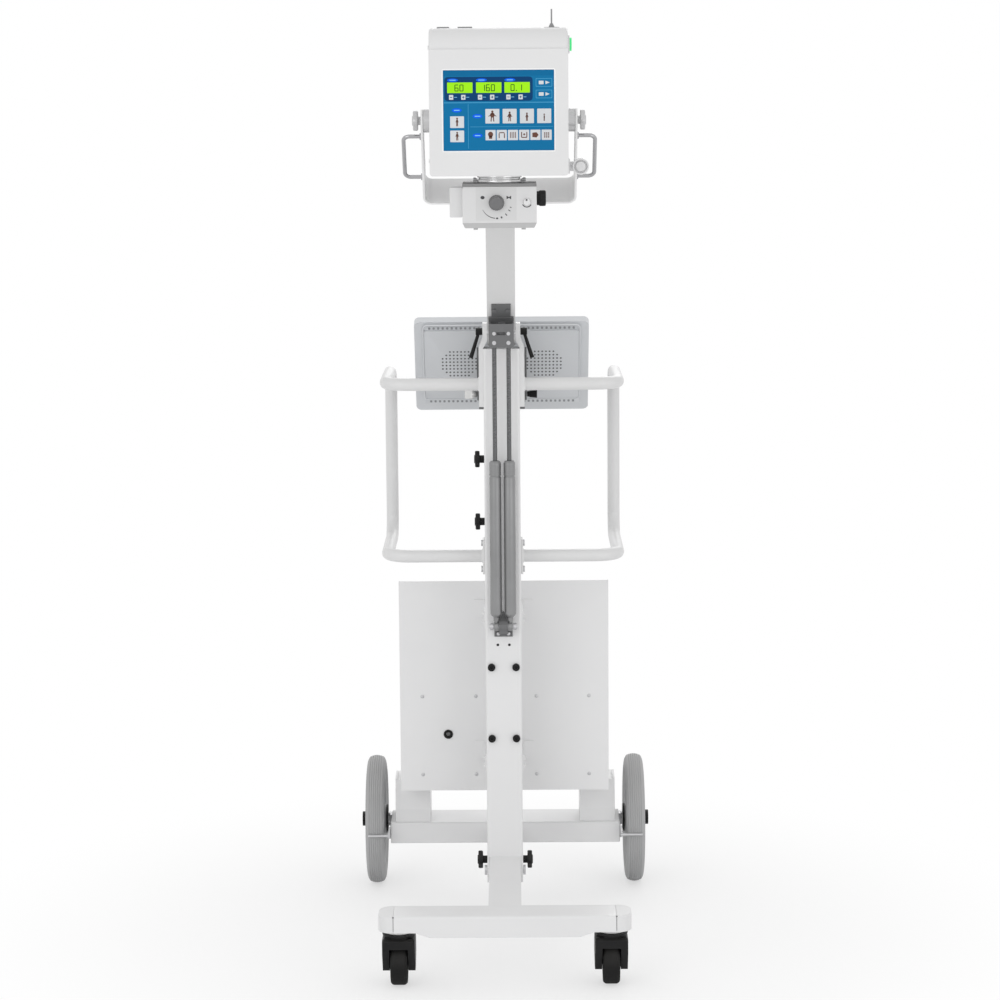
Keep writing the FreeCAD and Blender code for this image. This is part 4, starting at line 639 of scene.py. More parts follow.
def softCopy(node, bevel=0.0006, materials=None, paint=None, smooth=32):
    # a merged copy of a solid, its flat faces made whole and its sharp edges softened; paint turns the
    # faces' middles into material numbers
    mesh = frame["nodes"][node].data.copy()
    mesh.materials.clear()
    work = bmesh.new()
    work.from_mesh(mesh)
    bmesh.ops.remove_doubles(work, verts=work.verts, dist=0.000001)
    bmesh.ops.dissolve_limit(work, angle_limit=math.radians(0.4), verts=work.verts, edges=work.edges)
    work.to_mesh(mesh)
    work.free()
    if paint:
        middles = np.empty(len(mesh.polygons) * 3, np.float32)
        mesh.polygons.foreach_get("center", middles)
        mesh.polygons.foreach_set("material_index", paint(middles.reshape(-1, 3)).astype(np.int32))
    look = materials or [finish[slotOf[node]]]
    return finishPiece(node + "_finished", mesh, look, node, None, bevel, smooth, (node,))


# Structure: every solid keeps its shape and gets softened edges

softEdge = {
    "crossbar": 1.2, "rear_spine": 1.2, "spine_tube": 1.5, "mast_foot_bracket": 0.8, "front_beam": 1.0,
    "beam_end_caps": 0.8,
    "axle_brackets": 1.0, "mast_tube": 0.8, "mast_clevis": 0.9, "cabinet_shell": 0.7,
    "cabinet_brackets": 0.5, "stub_axles": 0.5,
    "arm_tube": 1.6, "yoke_bar": 0.9, "yoke_hub": 0.5, "head_housing": 0.8, "head_front_panel": 0.6,
    "tilt_pivots": 0.8, "monitor_screen": 0.3, "spring_foot_bracket": 0.4, "pivot_pins": 0.4,
    "frame_bolts": 0.4, "handle_bolts": 0.4, "brake_left": 0.5, "brake_right": 0.5,
    "caster_fork_left": 2.0, "caster_fork_right": 2.0, "clamp_lever_left": 0.6,
    "clamp_lever_right": 0.6, "monitor_knob": 0.6, "cable_grommet": 0.4, "power_switch": 0.5,
}


def litOrShadedPaintCopy(name, shade):
    # the white paint made lighter or darker for one part: painted light or painted shade
    return makeFinish(name, dict(finishes["white_paint"], color=(shade, shade, shade),
                                 tint=(0.9 * shade, 0.9 * shade, 0.91 * shade)))


# painted shade on the arm, whose underside faces the floor, and painted light on the yoke, whose web lies in
# the head's shade
paintedLightLook = {"arm_tube": litOrShadedPaintCopy("armPaint", 0.67), "yoke_bar": litOrShadedPaintCopy("yokePaint", 0.88)}
for node, edge in softEdge.items():
    softCopy(node, edge * mm, [paintedLightLook[node]] if node in paintedLightLook else None)

headTop = nodeBox("head_housing")[1][2]


def fittingPaint(middles):
    # what stands on the head's top is grey: the two sockets and the aerial
    return (middles[:, 2] > headTop + 0.1 * mm).astype(int)


socketGrey = plainFinish("socketGrey", (0.30, 0.30, 0.305), 0.45)
softCopy("head_fittings", 0.4 * mm, [finish[slotOf["head_fittings"]], socketGrey], fittingPaint)

capRadius = 15 * mm      # the black cap at a wheel's middle
capPlane = 265.4 * mm    # further out than this stands the cap
sealPlane = 230 * mm     # nearer the crossbar than this lies the seal


def hubPaint(middles):
    # the cap and the seal are black, the dished hub keeps its own grey
    axle = jointPlace("rear_wheel_left_spin")
    away = np.hypot(middles[:, 1] - axle[1], middles[:, 2] - axle[2])
    cap = (away < capRadius) & (np.abs(middles[:, 0]) > capPlane)
    seal = np.abs(middles[:, 0]) < sealPlane - 0.4 * mm
    return (cap | seal).astype(int)


for label in sides:
    softCopy("wheel_hub_" + label, 0.6 * mm, [finish["wheel_grey"], finish["black_plastic"]], hubPaint)
print("structure is dressed:", len(softEdge) + 2)


# Rear tyres

tyre = {"thick": 27 * mm, "ribs": 7, "groove": 1.2 * mm, "grooveWidth": 1.3 * mm, "shoulder": 4 * mm,
        "crown": 6.5 * mm}


def makeTyre(label):
    node = "wheel_tyre_" + label
    low, high = nodeBox(node)
    centre = jointPlace("rear_wheel_%s_spin" % label)
    radius, half = (high[2] - low[2]) / 2, (high[0] - low[0]) / 2
    rim = radius - tyre["thick"]
    edges = np.linspace(-half + tyre["shoulder"], half - tyre["shoulder"], tyre["ribs"] + 1)
    tread = []
    for start, end in zip(edges[:-1], edges[1:]):
        for x in (start + tyre["grooveWidth"] / 2, (start + end) / 2, end - tyre["grooveWidth"] / 2):
            tread.append((radius - tyre["crown"] * (x / half) ** 2, x))
        if end < edges[-1] - mm:
            drop = radius - tyre["crown"] * (end / half) ** 2 - tyre["groove"]
            tread += [(drop, end - tyre["grooveWidth"] / 3), (drop, end + tyre["grooveWidth"] / 3)]
    wall = [(rim, half - 4 * mm), (rim + 5 * mm, half), (radius - 19 * mm, half),
            (radius - 9.5 * mm, half - 1.2 * mm)]
    profile = [(r, -x) for r, x in wall] + tread + wall[::-1]
    reach = [0.8 * mm] * 2 + [5 * mm] * 2 + [0.35 * mm] * len(tread) + [5 * mm] * 2 + [0.8 * mm] * 2
    shell = moved(lathe(profile, np.array(reach), turns=160, steps=3, closed=True), centre, (1, 0, 0))
    fromShells(node + "_rubber", [shell], [finish["grey_tyre"]], node, (node,), smooth=50)


def makeCasterWheel(label):
    node = "caster_wheel_" + label
    low, high = nodeBox(node)
    centre = jointPlace("caster_%s_roll" % label)
    radius, half = (high[2] - low[2]) / 2, (high[0] - low[0]) / 2
    hub = [(4.2 * mm, half), (12 * mm, half), (14 * mm, half - 3 * mm), (radius - 12 * mm, half - 3 * mm),
           (radius - 10 * mm, half), (radius - 4 * mm, half), (radius - 0.6 * mm, half - 3.4 * mm),
           (radius, half - 6 * mm)]
    profile = hub + [(r, -x) for r, x in hub[::-1]]
    shell = moved(lathe(profile, 1.4 * mm, turns=96, steps=4, closed=True), centre, (1, 0, 0))
    fromShells(node + "_tread", [shell], [finish["black_rubber"]], node, (node,), smooth=50)


for label in sides:
    makeTyre(label)
    makeCasterWheel(label)


# Handles and grab handles

handle = {"diameter": 23 * mm, "bend": 42 * mm, "reach": 263 * mm, "high": 992 * mm, "low": 679 * mm,
          "out": 210 * mm,
          "cheek": 8.4 * mm, "footHalf": 32 * mm, "footWidth": 34 * mm, "footThick": 4 * mm}
elbow = jointPlace("elbow_lift")


def makeHandle(label, side):
    node = "handle_" + label
    low, high = nodeBox(node)
    radius = handle["diameter"] / 2
    inner = low[0] if side > 0 else high[0]
    out = side * handle["out"]
    front = elbow[1]
    back, top, bottom = front + handle["reach"], handle["high"], handle["low"]
    upperRoot = inner + side * handle["cheek"]
    lowerRoot = inner + side * handle["footThick"]
    corners = [(upperRoot, front, top), (out, front, top), (out, back, top), (out, back, bottom),
               (out, front, bottom), (lowerRoot, front, bottom)]
    shells = [tube(bentPath(corners, handle["bend"], 14), radius, 36)]
    for root, z in ((upperRoot, top), (lowerRoot, bottom)):
        weld = lathe([(radius - 1 * mm, 0), (radius + 2.0 * mm, 0), (radius + 0.8 * mm, 1.4 * mm),
                      (radius - 1 * mm, 2.4 * mm)],
                     0.5 * mm, 40, 4, closed=True)
        shells.append(moved(weld, (root, front, z), (side, 0, 0)))
    width = handle["footWidth"] / 2
    plate = roundCorners([(-handle["footHalf"], -width), (handle["footHalf"], -width),
                          (handle["footHalf"], width),
                          (-handle["footHalf"], width)], 4 * mm, steps=8)
    foot = prism(plate, 0, handle["footThick"], 0.8 * mm)
    turn = Matrix(((0, 0, side, inner), (0, 1, 0, front), (1, 0, 0, bottom), (0, 0, 0, 1)))
    foot.transform(turn)
    shells.append(foot)
    fromShells(node + "_tube", shells, [handlePaint], node, (node,), smooth=40)


# the handle tubes take a darker copy of the white paint: painted shade
handlePaint = litOrShadedPaintCopy("handlePaint", 0.73)
for label, side in sides.items():
    makeHandle(label, side)


armAngle = 48     # degrees, from the arm's own level drawing to its slope at rest
armTurn = Matrix.Rotation(math.radians(armAngle), 4, "X").inverted()
armPlace = Matrix.Translation(Vector(elbow)) @ armTurn
grab = {"diameter": 7 * mm, "bend": 10 * mm, "near": -477 * mm, "far": -384 * mm, "root": 130 * mm,
        "out": 160 * mm}


def makeGrabHandles():
    shells = []
    for side in (-1, 1):
        corners = [(side * grab["root"], grab["near"], 0), (side * grab["out"], grab["near"], 0),
                   (side * grab["out"], grab["far"], 0), (side * grab["root"], grab["far"], 0)]
        shells.append(tube(bentPath(corners, grab["bend"], 12), grab["diameter"] / 2, 24))
        for y in (grab["near"], grab["far"]):
            collar = lathe([(3 * mm, 0), (6.2 * mm, 0), (6.2 * mm, 2 * mm), (5 * mm, 3 * mm),
                            (3 * mm, 3 * mm)], 0.4 * mm, 32, 4, True)
            shells.append(moved(collar, (side * (grab["root"] + 0.1 * mm), y, 0), (side, 0, 0)))
    look = dict(finishes["bright_steel"], color=(0.42, 0.42, 0.43), tint=(0.3, 0.3, 0.31))
    fromShells("grab_handle_rods", shells, [makeFinish("grabSteel", look)], "grab_handles",
               ("grab_handles",), armPlace, smooth=40)


makeGrabHandles()


# Gas springs, built upright from the lower pin

springAxis = np.array(jointOf["spring_stroke"]["axis"])
springLean = math.atan2(-springAxis[1], springAxis[2])
springPlace = Matrix.Translation(Vector(jointPlace("spring_swing"))) @ Matrix.Rotation(springLean, 4, "X")
spring = {"tube": 10.5 * mm, "bore": 4.05 * mm, "pitch": 25.4 * mm, "length": 302 * mm, "crimp": 28 * mm,
          "rings": 5, "ringPitch": 3.4 * mm, "plateNear": -10.5 * mm, "boltRadius": 3.8 * mm,
          "screwDrop": 16.5 * mm}


def makeSprings():
    # a closed profile turned for each cylinder, with a crimp and fine turned rings under its shoulder
    tubes = []
    r, top, bore = spring["tube"], spring["length"], spring["bore"]
    crimp = top - spring["crimp"]
    profile = [(0, 10 * mm), (5 * mm, 10 * mm), (5.2 * mm, 17 * mm), (r - 2 * mm, 20.5 * mm), (r, 24 * mm),
               (r, crimp - 2 * mm),
               (r - 1.1 * mm, crimp - 0.6 * mm), (r - 1.1 * mm, crimp + 0.8 * mm), (r, crimp + 2.2 * mm)]
    for i in range(spring["rings"]):
        z = crimp + 5 * mm + i * spring["ringPitch"]
        profile += [(r, z - 0.6 * mm), (r - 0.45 * mm, z), (r, z + 0.6 * mm)]
    profile += [(r, top - 4 * mm), (r - 2.2 * mm, top - 0.7 * mm), (r - 3 * mm, top), (bore, top),
                (bore, top - 3 * mm),
                (0, top - 3 * mm)]
    for side in (-1, 1):
        x = side * spring["pitch"] / 2
        tubes.append(moved(lathe(profile, 0.5 * mm, 56, 3), (x, 0, 0)))
        eye = lathe([(bore, -4 * mm), (8 * mm, -4 * mm), (8 * mm, 4 * mm), (bore, 4 * mm)], 0.5 * mm, 44, 4,
                    True)
        tubes.append(moved(eye, (x, 0, 0), (1, 0, 0)))
        tubes.append(moved(lathe([(0, 6.5 * mm), (3.2 * mm, 6.5 * mm), (3.2 * mm, 12 * mm), (0, 12 * mm)],
                                 0.3 * mm, 32, 3), (x, 0, 0)))
    fromShells("spring_cylinders", tubes, [finish["grey_spring"]], "spring_tubes", ("spring_tubes",),
               springPlace, smooth=40)


def rodPaint(middles):
    # in the springs' own frame: the rods, the dark plate before them, and the bolts' bright heads
    turned = np.array(springPlace.inverted().to_3x3())
    local = (middles - jointPlace("spring_swing")) @ turned.T
    plate = local[:, 1] < spring["plateNear"]
    across = np.abs(np.abs(local[:, 0]) - spring["pitch"] / 2)
    bolt = plate & (across < spring["boltRadius"]) & (local[:, 1] < spring["plateNear"] - 4 * mm)
    near = np.minimum(np.abs(local[:, 2] - springReach),
                      np.abs(local[:, 2] - springReach + spring["screwDrop"]))
    return plate.astype(int) + (bolt & (near < spring["boltRadius"])).astype(int)


bracketHalf = 22.6 * mm     # further out than this stand the bracket's pins
wingStart = 50.2 * mm       # further left than this lies the monitor's wing screw


def bracketPaint(middles):
    # the short pins at the bracket's sides are bright
    local = (middles - elbow) @ np.array(armTurn.inverted().to_3x3()).T
    return (np.abs(local[:, 0]) > bracketHalf).astype(int)


springReach = math.hypot(8, 531) * mm
makeSprings()
softCopy("spring_rods", 0.3 * mm, [finish["rod_steel"], finish["dark_bracket"], finish["steel"]], rodPaint)
softCopy("arm_spring_bracket", 0.5 * mm, [finish["dark_bracket"], finish["steel"]], bracketPaint)
print("tyres, handles and springs are made")


# Clamp knobs: a stem, a lobed disc and a raised boss

knob = {"stem": 7 * mm, "thick": 8.5 * mm, "boss": 1.5 * mm, "lobeDepth": 0.08, "bossShare": 0.24}


def makeKnob(node, side, disc, material):
    low, high = nodeBox(node)
    centre = (low + high) / 2
    inner = low[0] if side > 0 else high[0]
    length = high[0] - low[0]
    r, stem, boss = disc / 2, knob["stem"], knob["bossShare"] * disc
    front = length - knob["boss"]
    back = front - knob["thick"]
    profile = [(0, 0), (stem, 0), (stem, back), (r - 1.2 * mm, back), (r, back + 1.4 * mm),
               (r, front - 1.4 * mm),
               (r - 1.2 * mm, front), (boss + 0.6 * mm, front), (boss, length - 0.2 * mm),
               (boss - 1 * mm, length), (0, length)]
    shell = lathe(profile, 0.9 * mm, 120, 4, lobes=4, depth=knob["lobeDepth"] * disc, inner=r * 0.62)
    moved(shell, (inner, centre[1], centre[2]), (side, 0, 0), 45)
    fromShells(node + "_grip", [shell], [finish[material]], node, (node,), smooth=40)


for label, side in sides.items():
    makeKnob("foot_knob_" + label, side, 33 * mm, "black_plastic")
    makeKnob("tilt_knob_" + label, side, 33 * mm, "grey_knob")
for label in ("upper", "lower"):
    makeKnob("mast_knob_" + label, -1, 30 * mm, "black_plastic")


# Collimator: neck ring, dial, side knob, light button and the printed plate round the dial

ink = plainFinish("printDark", (0.05, 0.05, 0.055), 0.5)
plateGrey = plainFinish("plateGrey", (0.67, 0.67, 0.672), 0.40)


def makeRing():
    low, high = nodeBox("collimator_ring")
    centre = jointPlace("collimator_turn")
    r = (high[1] - low[1]) / 2
    top, bottom = high[2], low[2]
    height = top - bottom
    profile = [(0, 0), (r, 0), (r, 4.6 * mm), (r - 2.5 * mm, 5.2 * mm), (r - 2.5 * mm, 7.8 * mm),
               (r, 8.4 * mm), (r, height - 1.2 * mm),
               (r - 1.5 * mm, height), (0, height)]
    shells = [painted(moved(lathe(profile, 0.6 * mm, 96, 4), (centre[0], centre[1], bottom)), 0)]
    for side in (-1, 1):
        clip = roundCorners([(-3.5 * mm, -5 * mm), (3.5 * mm, -5 * mm), (3.5 * mm, 5 * mm),
                             (-3.5 * mm, 5 * mm)], 1.4 * mm)
        block = prism(clip, 0, 5 * mm, 0.8 * mm)
        shells.append(painted(moved(block, (side * (r + 3.4 * mm), centre[1], bottom + 1.6 * mm)), 1))
        pin = lathe([(0, 0), (2.4 * mm, 0), (2.4 * mm, 1.2 * mm), (0, 1.6 * mm)], 0.4 * mm, 24, 3)
        shells.append(painted(moved(pin, (side * (r + 4 * mm), centre[1], bottom + 6.5 * mm)), 0))
    look = dict(finishes["bright_steel"], color=(0.86, 0.86, 0.865), tint=(0.78, 0.78, 0.785), metallic=0.45)
    fromShells("neck_ring", shells, [makeFinish("ringSteel", look), finish["grey_knob"]], "collimator_ring",
               ("collimator_ring",), smooth=40)


def makeDial():
    low, high = nodeBox("collimator_dial")
    centre = (low + high) / 2
    length = high[1] - low[1]
    profile = [(0, 0), (5 * mm, 0), (5 * mm, length - 12.7 * mm), (13 * mm, length - 12.7 * mm),
               (13 * mm, length - 10.2 * mm),
               (11.6 * mm, length - 9.6 * mm), (10.5 * mm, length - 1.2 * mm), (9.2 * mm, length),
               (0, length)]
    grip = lathe(profile, 0.9 * mm, 144, 4, lobes=24, depth=0.55 * mm, inner=9.6 * mm)
    shells = [painted(moved(grip, (centre[0], high[1], centre[2]), (0, -1, 0)), 0)]
    fromShells("dial_grip", shells, [finish["dial_grey"]], "collimator_dial", ("collimator_dial",),
               smooth=40)


def makeSideKnob():
    low, high = nodeBox("collimator_knob")
    centre = (low + high) / 2
    length = high[0] - low[0]
    profile = [(0, 0), (5 * mm, 0), (5 * mm, 7.4 * mm), (11.6 * mm, 7.4 * mm), (11.6 * mm, 11 * mm),
               (13 * mm, 12.2 * mm),
               (13 * mm, length - 1.6 * mm), (11.4 * mm, length), (0, length)]
    shell = lathe(profile, 0.8 * mm, 160, 4, lobes=32, depth=0.8 * mm, inner=11 * mm)
    fromShells("side_knob_grip", [moved(shell, (low[0], centre[1], centre[2]), (1, 0, 0))],
               [finish["black_plastic"]],
               "collimator_knob", ("collimator_knob",), smooth=40)


def makeLightButton():
    low, high = nodeBox("light_button")
    centre = (low + high) / 2
    length = high[1] - low[1]
    profile = [(0, 0), (6 * mm, 0), (6 * mm, length - 1.2 * mm), (5 * mm, length), (0, length)]
    shell = painted(moved(lathe(profile, 0.7 * mm, 48, 4), (centre[0], high[1], centre[2]), (0, -1, 0)), 0)
    dot = painted(moved(lathe([(0, 0), (1.6 * mm, 0), (1.5 * mm, 0.25 * mm), (0, 0.3 * mm)], 0.1 * mm, 24,
                              3),
                        (centre[0] - 0.5 * mm, low[1] - 0.05 * mm, centre[2] + 3.4 * mm), (0, -1, 0)), 1)
    fromShells("button_cap", [shell, dot], [finish["white_plastic"], ink], "light_button", ("light_button",),
               smooth=40)


makeRing()
makeDial()
makeSideKnob()
makeLightButton()


def flatShapes(name, shapes, materials, node, place, thick=0.12 * mm, scale=(1, 1)):
    # thin flat shapes on a face, print and marks of painted shade alike: each is an outline in millimetres, a
    # material and a layer
    shells = []
    for outline, index, layer in shapes:
        line = np.asarray(outline, float) * mm * np.array(scale)
        shells.append(painted(moved(prism(line, 0, thick, 0.3 * thick, 2), (0, 0, layer * thick * 0.7)),
                              index))
    return fromShells(name, shells, materials, node, (), place, smooth=30)


def rect(x0, z0, x1, z1, corner=0.6):
    return roundCorners([(x0, z0), (x1, z0), (x1, z1), (x0, z1)], corner, steps=4)


def disc(x, z, rx, rz=None, count=28):
    t = np.linspace(0, 2 * math.pi, count, endpoint=False)
    return np.stack([x + rx * np.cos(t), z + (rz or rx) * np.sin(t)], axis=-1)


def bar(x0, z0, x1, z1, width):
    # a straight stroke with square ends between two points
    a, b = np.array([x0, z0], float), np.array([x1, z1], float)
    along = (b - a) / np.linalg.norm(b - a)
    across = np.array([-along[1], along[0]]) * width / 2
    return np.array([a - across, b - across, b + across, a + across])


def facing(x, y, z):
    # carries a drawing in x and z onto a face that looks towards -Y
    return Matrix(((1, 0, 0, x), (0, 0, -1, y), (0, 1, 0, z), (0, 0, 0, 1)))


def collimatorPrint():
    low, high = nodeBox("collimator_dial")
    face = nodeBox("collimator_body")[0][1]
    shapes = [(rect(-34, -29, 33, 25, 1.5), 0, 0)]
    arc = np.radians(np.linspace(207, 264, 18))
    swell = np.linspace(0.3, 0.7, 18)
    outerArc = np.stack([(25.4 + swell) * np.cos(arc), (25.4 + swell) * np.sin(arc)], axis=-1)
    innerArc = np.stack([(25.4 - swell) * np.cos(arc), (25.4 - swell) * np.sin(arc)], axis=-1)[::-1]
    shapes.append((np.concatenate([outerArc, innerArc]), 1, 1))
    for angle, inner, outer, width in ((272, 24.2, 26.8, 3.4), (289, 23.8, 26.8, 2.6),
                                       (309, 23.0, 27.2, 1.6), (329, 22.6, 26.6, 1.4),
                                       (342, 23.0, 26.0, 1.2)):
        a = math.radians(angle)
        shapes.append((bar(inner * math.cos(a), inner * math.sin(a), outer * math.cos(a),
                           outer * math.sin(a), width), 1, 1))
    shapes.append((disc(-22.8, 8.6, 3.4, 2.8), 1, 1))
    shapes.append((np.array([(16.6, 11.4), (20.4, 9.3), (24.2, 11.4), (24.2, 5.6), (20.4, 7.7),
                             (16.6, 5.6)]), 1, 1))
    # painted shadow: a dark crescent in ink under the light button
    buttonShadowSweep = np.radians(np.linspace(205, 330, 17))
    outerArc = np.stack([50 + 8.6 * np.cos(buttonShadowSweep), 0.5 + 8.6 * np.sin(buttonShadowSweep)], axis=-1)
    innerArc = np.stack([50 + 7.0 * np.cos(buttonShadowSweep[::-1]), 0.5 + 7.0 * np.sin(buttonShadowSweep[::-1])], axis=-1)
    shapes.append((np.concatenate([outerArc, innerArc]), 1, 0))
    centre = (low + high) / 2
    flatShapes("collimator_print", shapes, [plateGrey, ink], "collimator_body",
               facing(centre[0], face, centre[2]))


boxTop = nodeBox("collimator_body")[1][2] - 5.5 * mm      # the neck plate lies above
caseLow = boxTop - 59.2 * mm                              # the case's front turns in below this crease
# the case is a darker copy of the white plastic, painted shade; below the crease the turned-in front is
# darkened as painted shade, the crease gets a thin line of painted shade, and above boxTop the neck plate is
# darkened
caseShadedLook = dict(finishes["white_plastic"], color=(0.71, 0.71, 0.713), tint=(0.64, 0.64, 0.645))
caseShadedLook["bands"] = [(0.0, caseLow, 0.70), (caseLow - 0.25 * mm, caseLow + 0.25 * mm, 0.75),
                     (boxTop + 0.1 * mm, 9.0, 0.36)]
softCopy("collimator_body", 0.8 * mm, [makeFinish("collimatorWhite", caseShadedLook)])
collimatorPrint()
print("collimator is dressed")


# Touch panel: a lit picture of plain boxes, numbers and simple figures, in millimetres from its middle

panelColours = {
    "blue": (0.003, 0.135, 0.30), "navy": (0.001, 0.040, 0.13), "lime": (0.30, 0.72, 0.01),
    "digit": (0.02, 0.085, 0.01),
    "key": (0.55, 0.57, 0.59), "figure": (0.12, 0.055, 0.04), "tab": (0.002, 0.10, 0.70),
    "line": (0.05, 0.27, 0.47),
    "pale": (0.20, 0.50, 0.72), "deep": (0.002, 0.118, 0.27),
}
panelOrder = list(panelColours)
segments = {"0": "abcdef", "1": "bc", "6": "afgedc"}      # the numbers that the panel shows


def digitShapes(char, x, z, w, h, stroke=1.3):
    # seven strokes of a lit number
    strokes = {
        "a": (0, h, w, h), "b": (w, h, w, h / 2), "c": (w, h / 2, w, 0), "d": (0, 0, w, 0),
        "e": (0, 0, 0, h / 2), "f": (0, h / 2, 0, h),
        "g": (0, h / 2, w, h / 2),
    }
    if char == ".":
        return [rect(x, z - stroke / 2, x + 1.6, z + 1.1, 0.2)]
    return [bar(x + strokes[s][0], z + strokes[s][1], x + strokes[s][2], z + strokes[s][3],
                stroke) for s in segments[char]]


def figureShapes(x, z, size, stout):
    # a small standing figure: head, trunk, arms and legs
    return [disc(x, z + 0.40 * size, 0.10 * size, count=14),
            disc(x, z + 0.10 * size, 0.10 * size * stout + 0.03 * size, 0.22 * size, 16),
            bar(x, z + 0.22 * size, x - 0.20 * size * stout, z - 0.02 * size, 0.06 * size),
            bar(x, z + 0.22 * size, x + 0.20 * size * stout, z - 0.02 * size, 0.06 * size),
            bar(x - 0.05 * size * stout, z - 0.05 * size, x - 0.07 * size * stout, z - 0.46 * size,
                0.09 * size),
            bar(x + 0.05 * size * stout, z - 0.05 * size, x + 0.07 * size * stout, z - 0.46 * size,
                0.09 * size)]


def panelPicture():
    shapes = []

    def put(colour, outlines, layer):
        for outline in outlines if isinstance(outlines, list) else [outlines]:
            shapes.append((outline, panelOrder.index(colour), layer))

    put("blue", rect(-91, -66.5, 91, 66.5, 0.4), 0)
    put("deep", rect(-91, 57, 91, 66.5, 0.3), 1)
    put("navy", rect(-89, 15.5, 56, 55.5, 6), 1)
    for start, text in ((-84.5, "60"), (-37.0, "160"), (9.6, "0.1")):
        put("lime", rect(start, 29.0, start + 41.8, 46.5, 0.8), 2)
        put("tab", disc(start + 9, 50.2, 9.0, 2.9, 24), 2)
        put("pale", bar(start + 4, 50.2, start + 14, 50.2, 1.3), 3)
        width = sum(4.0 if char == "." else 8.2 for char in text)
        x = start + 21 - width / 2
        for char in text:
            put("digit", digitShapes(char, x, 32.4, 5.2, 10.0), 3)
            x += 4.0 if char == "." else 8.2
        for i, x in enumerate((start + 3, start + 23)):
            put("key", rect(x, 18.0, x + 7, 26.0, 0.8), 2)
            put("navy", bar(x + 1.6, 22, x + 5.4, 22, 1.2), 3)
            if i:
                put("navy", bar(x + 3.5, 20, x + 3.5, 24, 1.2), 4)
            put("pale", bar(x + 8.4, 22, x + 13, 22, 0.9), 2)
    for z in (40, 21):
        put("line", rect(61, z - 1.5, 88, z + 12.5, 1.2), 1)
        put("blue", rect(62, z - 0.5, 87, z + 11.5, 1.0), 2)
        put("key", rect(66, z + 2.6, 74, z + 8.4, 0.8), 3)
        put("key", np.array([(77, z + 2.6), (84, z + 5.5), (77, z + 8.4)]), 3)
    put("line", rect(-91, 12.3, 91, 13.7, 0.2), 1)
    put("line", rect(-50.6, -63, -49.8, 11, 0.2), 1)
    put("line", rect(-47, -27.4, 89, -26.7, 0.2), 1)
    for x, z in ((-69, 0.5), (-35, -9.5), (-35, -41.5)):
        put("tab", disc(x, z, 8.2, 3.6, 24), 2)
        put("pale", bar(x - 4.6, z, x + 4.6, z, 1.5), 3)
    for i, z in enumerate((-19, -42.5)):
        put("key", rect(-80, z - 9.6, -57.2, z + 9.6, 1.0), 2)
        put("figure", figureShapes(-68.6, z, 15, 1.0 if i else 0.8), 3)
    for i in range(4):
        x = -22 + 28.4 * i
        put("key", rect(x, -21.6, x + 23, 2.4, 1.0), 2)
        put("figure", figureShapes(x + 11.5, -9.6 - i * 0.8, 19 - 2.2 * i, 1.7 - 0.42 * i), 3)
    small = [-22 + 18.45 * i for i in range(6)]
    for x in small:
        put("key", rect(x, -49.4, x + 16.6, -32.4, 0.9), 2)
    z = -41
    put("figure", [disc(small[0] + 8.3, z + 1.2, 4.2, 4.6, 20),
                   rect(small[0] + 5.6, z - 6, small[0] + 11, z - 1, 0.6)], 3)
    put("figure", [bar(small[1] + 4, z - 5, small[1] + 4, z + 3, 1.6),
                   bar(small[1] + 12.6, z - 5, small[1] + 12.6, z + 3, 1.6),
                   bar(small[1] + 4, z + 4, small[1] + 12.6, z + 4, 1.6)], 3)
    put("figure", [bar(small[2] + 4 + 2.8 * i, z - 5, small[2] + 4 + 2.8 * i, z + 5, 1.3) for i in range(4)],
        3)
    put("figure", [bar(small[3] + 4, z + 5, small[3] + 4, z - 4, 1.6),
                   bar(small[3] + 12.6, z + 5, small[3] + 12.6, z - 4, 1.6),
                   bar(small[3] + 4, z - 4, small[3] + 12.6, z - 4, 1.6),
                   disc(small[3] + 8.3, z + 1, 1.7, 1.7, 12)], 3)
    put("figure", np.array([(small[4] + 3.2, z + 3.5), (small[4] + 10, z + 4.5), (small[4] + 13.6, z),
                            (small[4] + 10, z - 4.5),
                            (small[4] + 3.2, z - 3.5)]), 3)
    put("figure", [rect(small[5] + 4 + 3.2 * i, z - 4.6 + 3.2 * j, small[5] + 6.2 + 3.2 * i,
                        z - 2.4 + 3.2 * j, 0.4)
                   for i in range(3) for j in range(3)], 3)
    materials = [plainFinish("panel" + name.capitalize(), colour, 0.22, 0.25, 0.0, 0.12) for name,
                 colour in panelColours.items()]
    low, high = nodeBox("head_screen")
    centre = (low + high) / 2
    scale = ((high[0] - low[0]) / (182 * mm), (high[2] - low[2]) / (133 * mm))
    flatShapes("touch_picture", shapes, materials, "head_screen", facing(centre[0], low[1], centre[2]),
               0.05 * mm, scale)


def frameBand(line, section):
    # a section of (outward, height) points carried round an outline along its normals
    line, section = np.asarray(line, float), np.asarray(section, float)
    along = np.roll(line, -1, axis=0) - np.roll(line, 1, axis=0)
    along /= np.linalg.norm(along, axis=1, keepdims=True)
    normal = np.stack([along[:, 1], -along[:, 0]], axis=-1)
    flat = line[:, None] + normal[:, None] * section[None, :, :1]
    rise = np.broadcast_to(section[None, :, 1:], flat.shape[:2] + (1,))
    return gridMesh(np.concatenate([flat, rise], axis=-1), wrapRows=True)


def screenLip():
    low, high = nodeBox("head_screen")
    centre, half = (low + high) / 2, (high - low) / 2
    w, h = half[0] + 0.3 * mm, half[2] + 0.3 * mm
    line = roundCorners([(-w, -h), (w, -h), (w, h), (-w, h)], 1.2 * mm)
    band = frameBand(line, roundCorners([(0, -0.3 * mm), (2.2 * mm, -0.3 * mm), (2.2 * mm, 0.25 * mm),
                                         (0, 0.5 * mm)], 0.2 * mm, steps=3))
    face = nodeBox("head_front_panel")[0][1]
    fromShells("screen_lip", [band], [lipWhite], "head_front_panel", (), facing(centre[0], face, centre[2]),
               smooth=40)


lipWhite = plainFinish("lipWhite", (0.93, 0.93, 0.93), 0.3)
panelPicture()
screenLip()
softCopy("head_screen", 0.2 * mm)
print("touch panel is drawn")
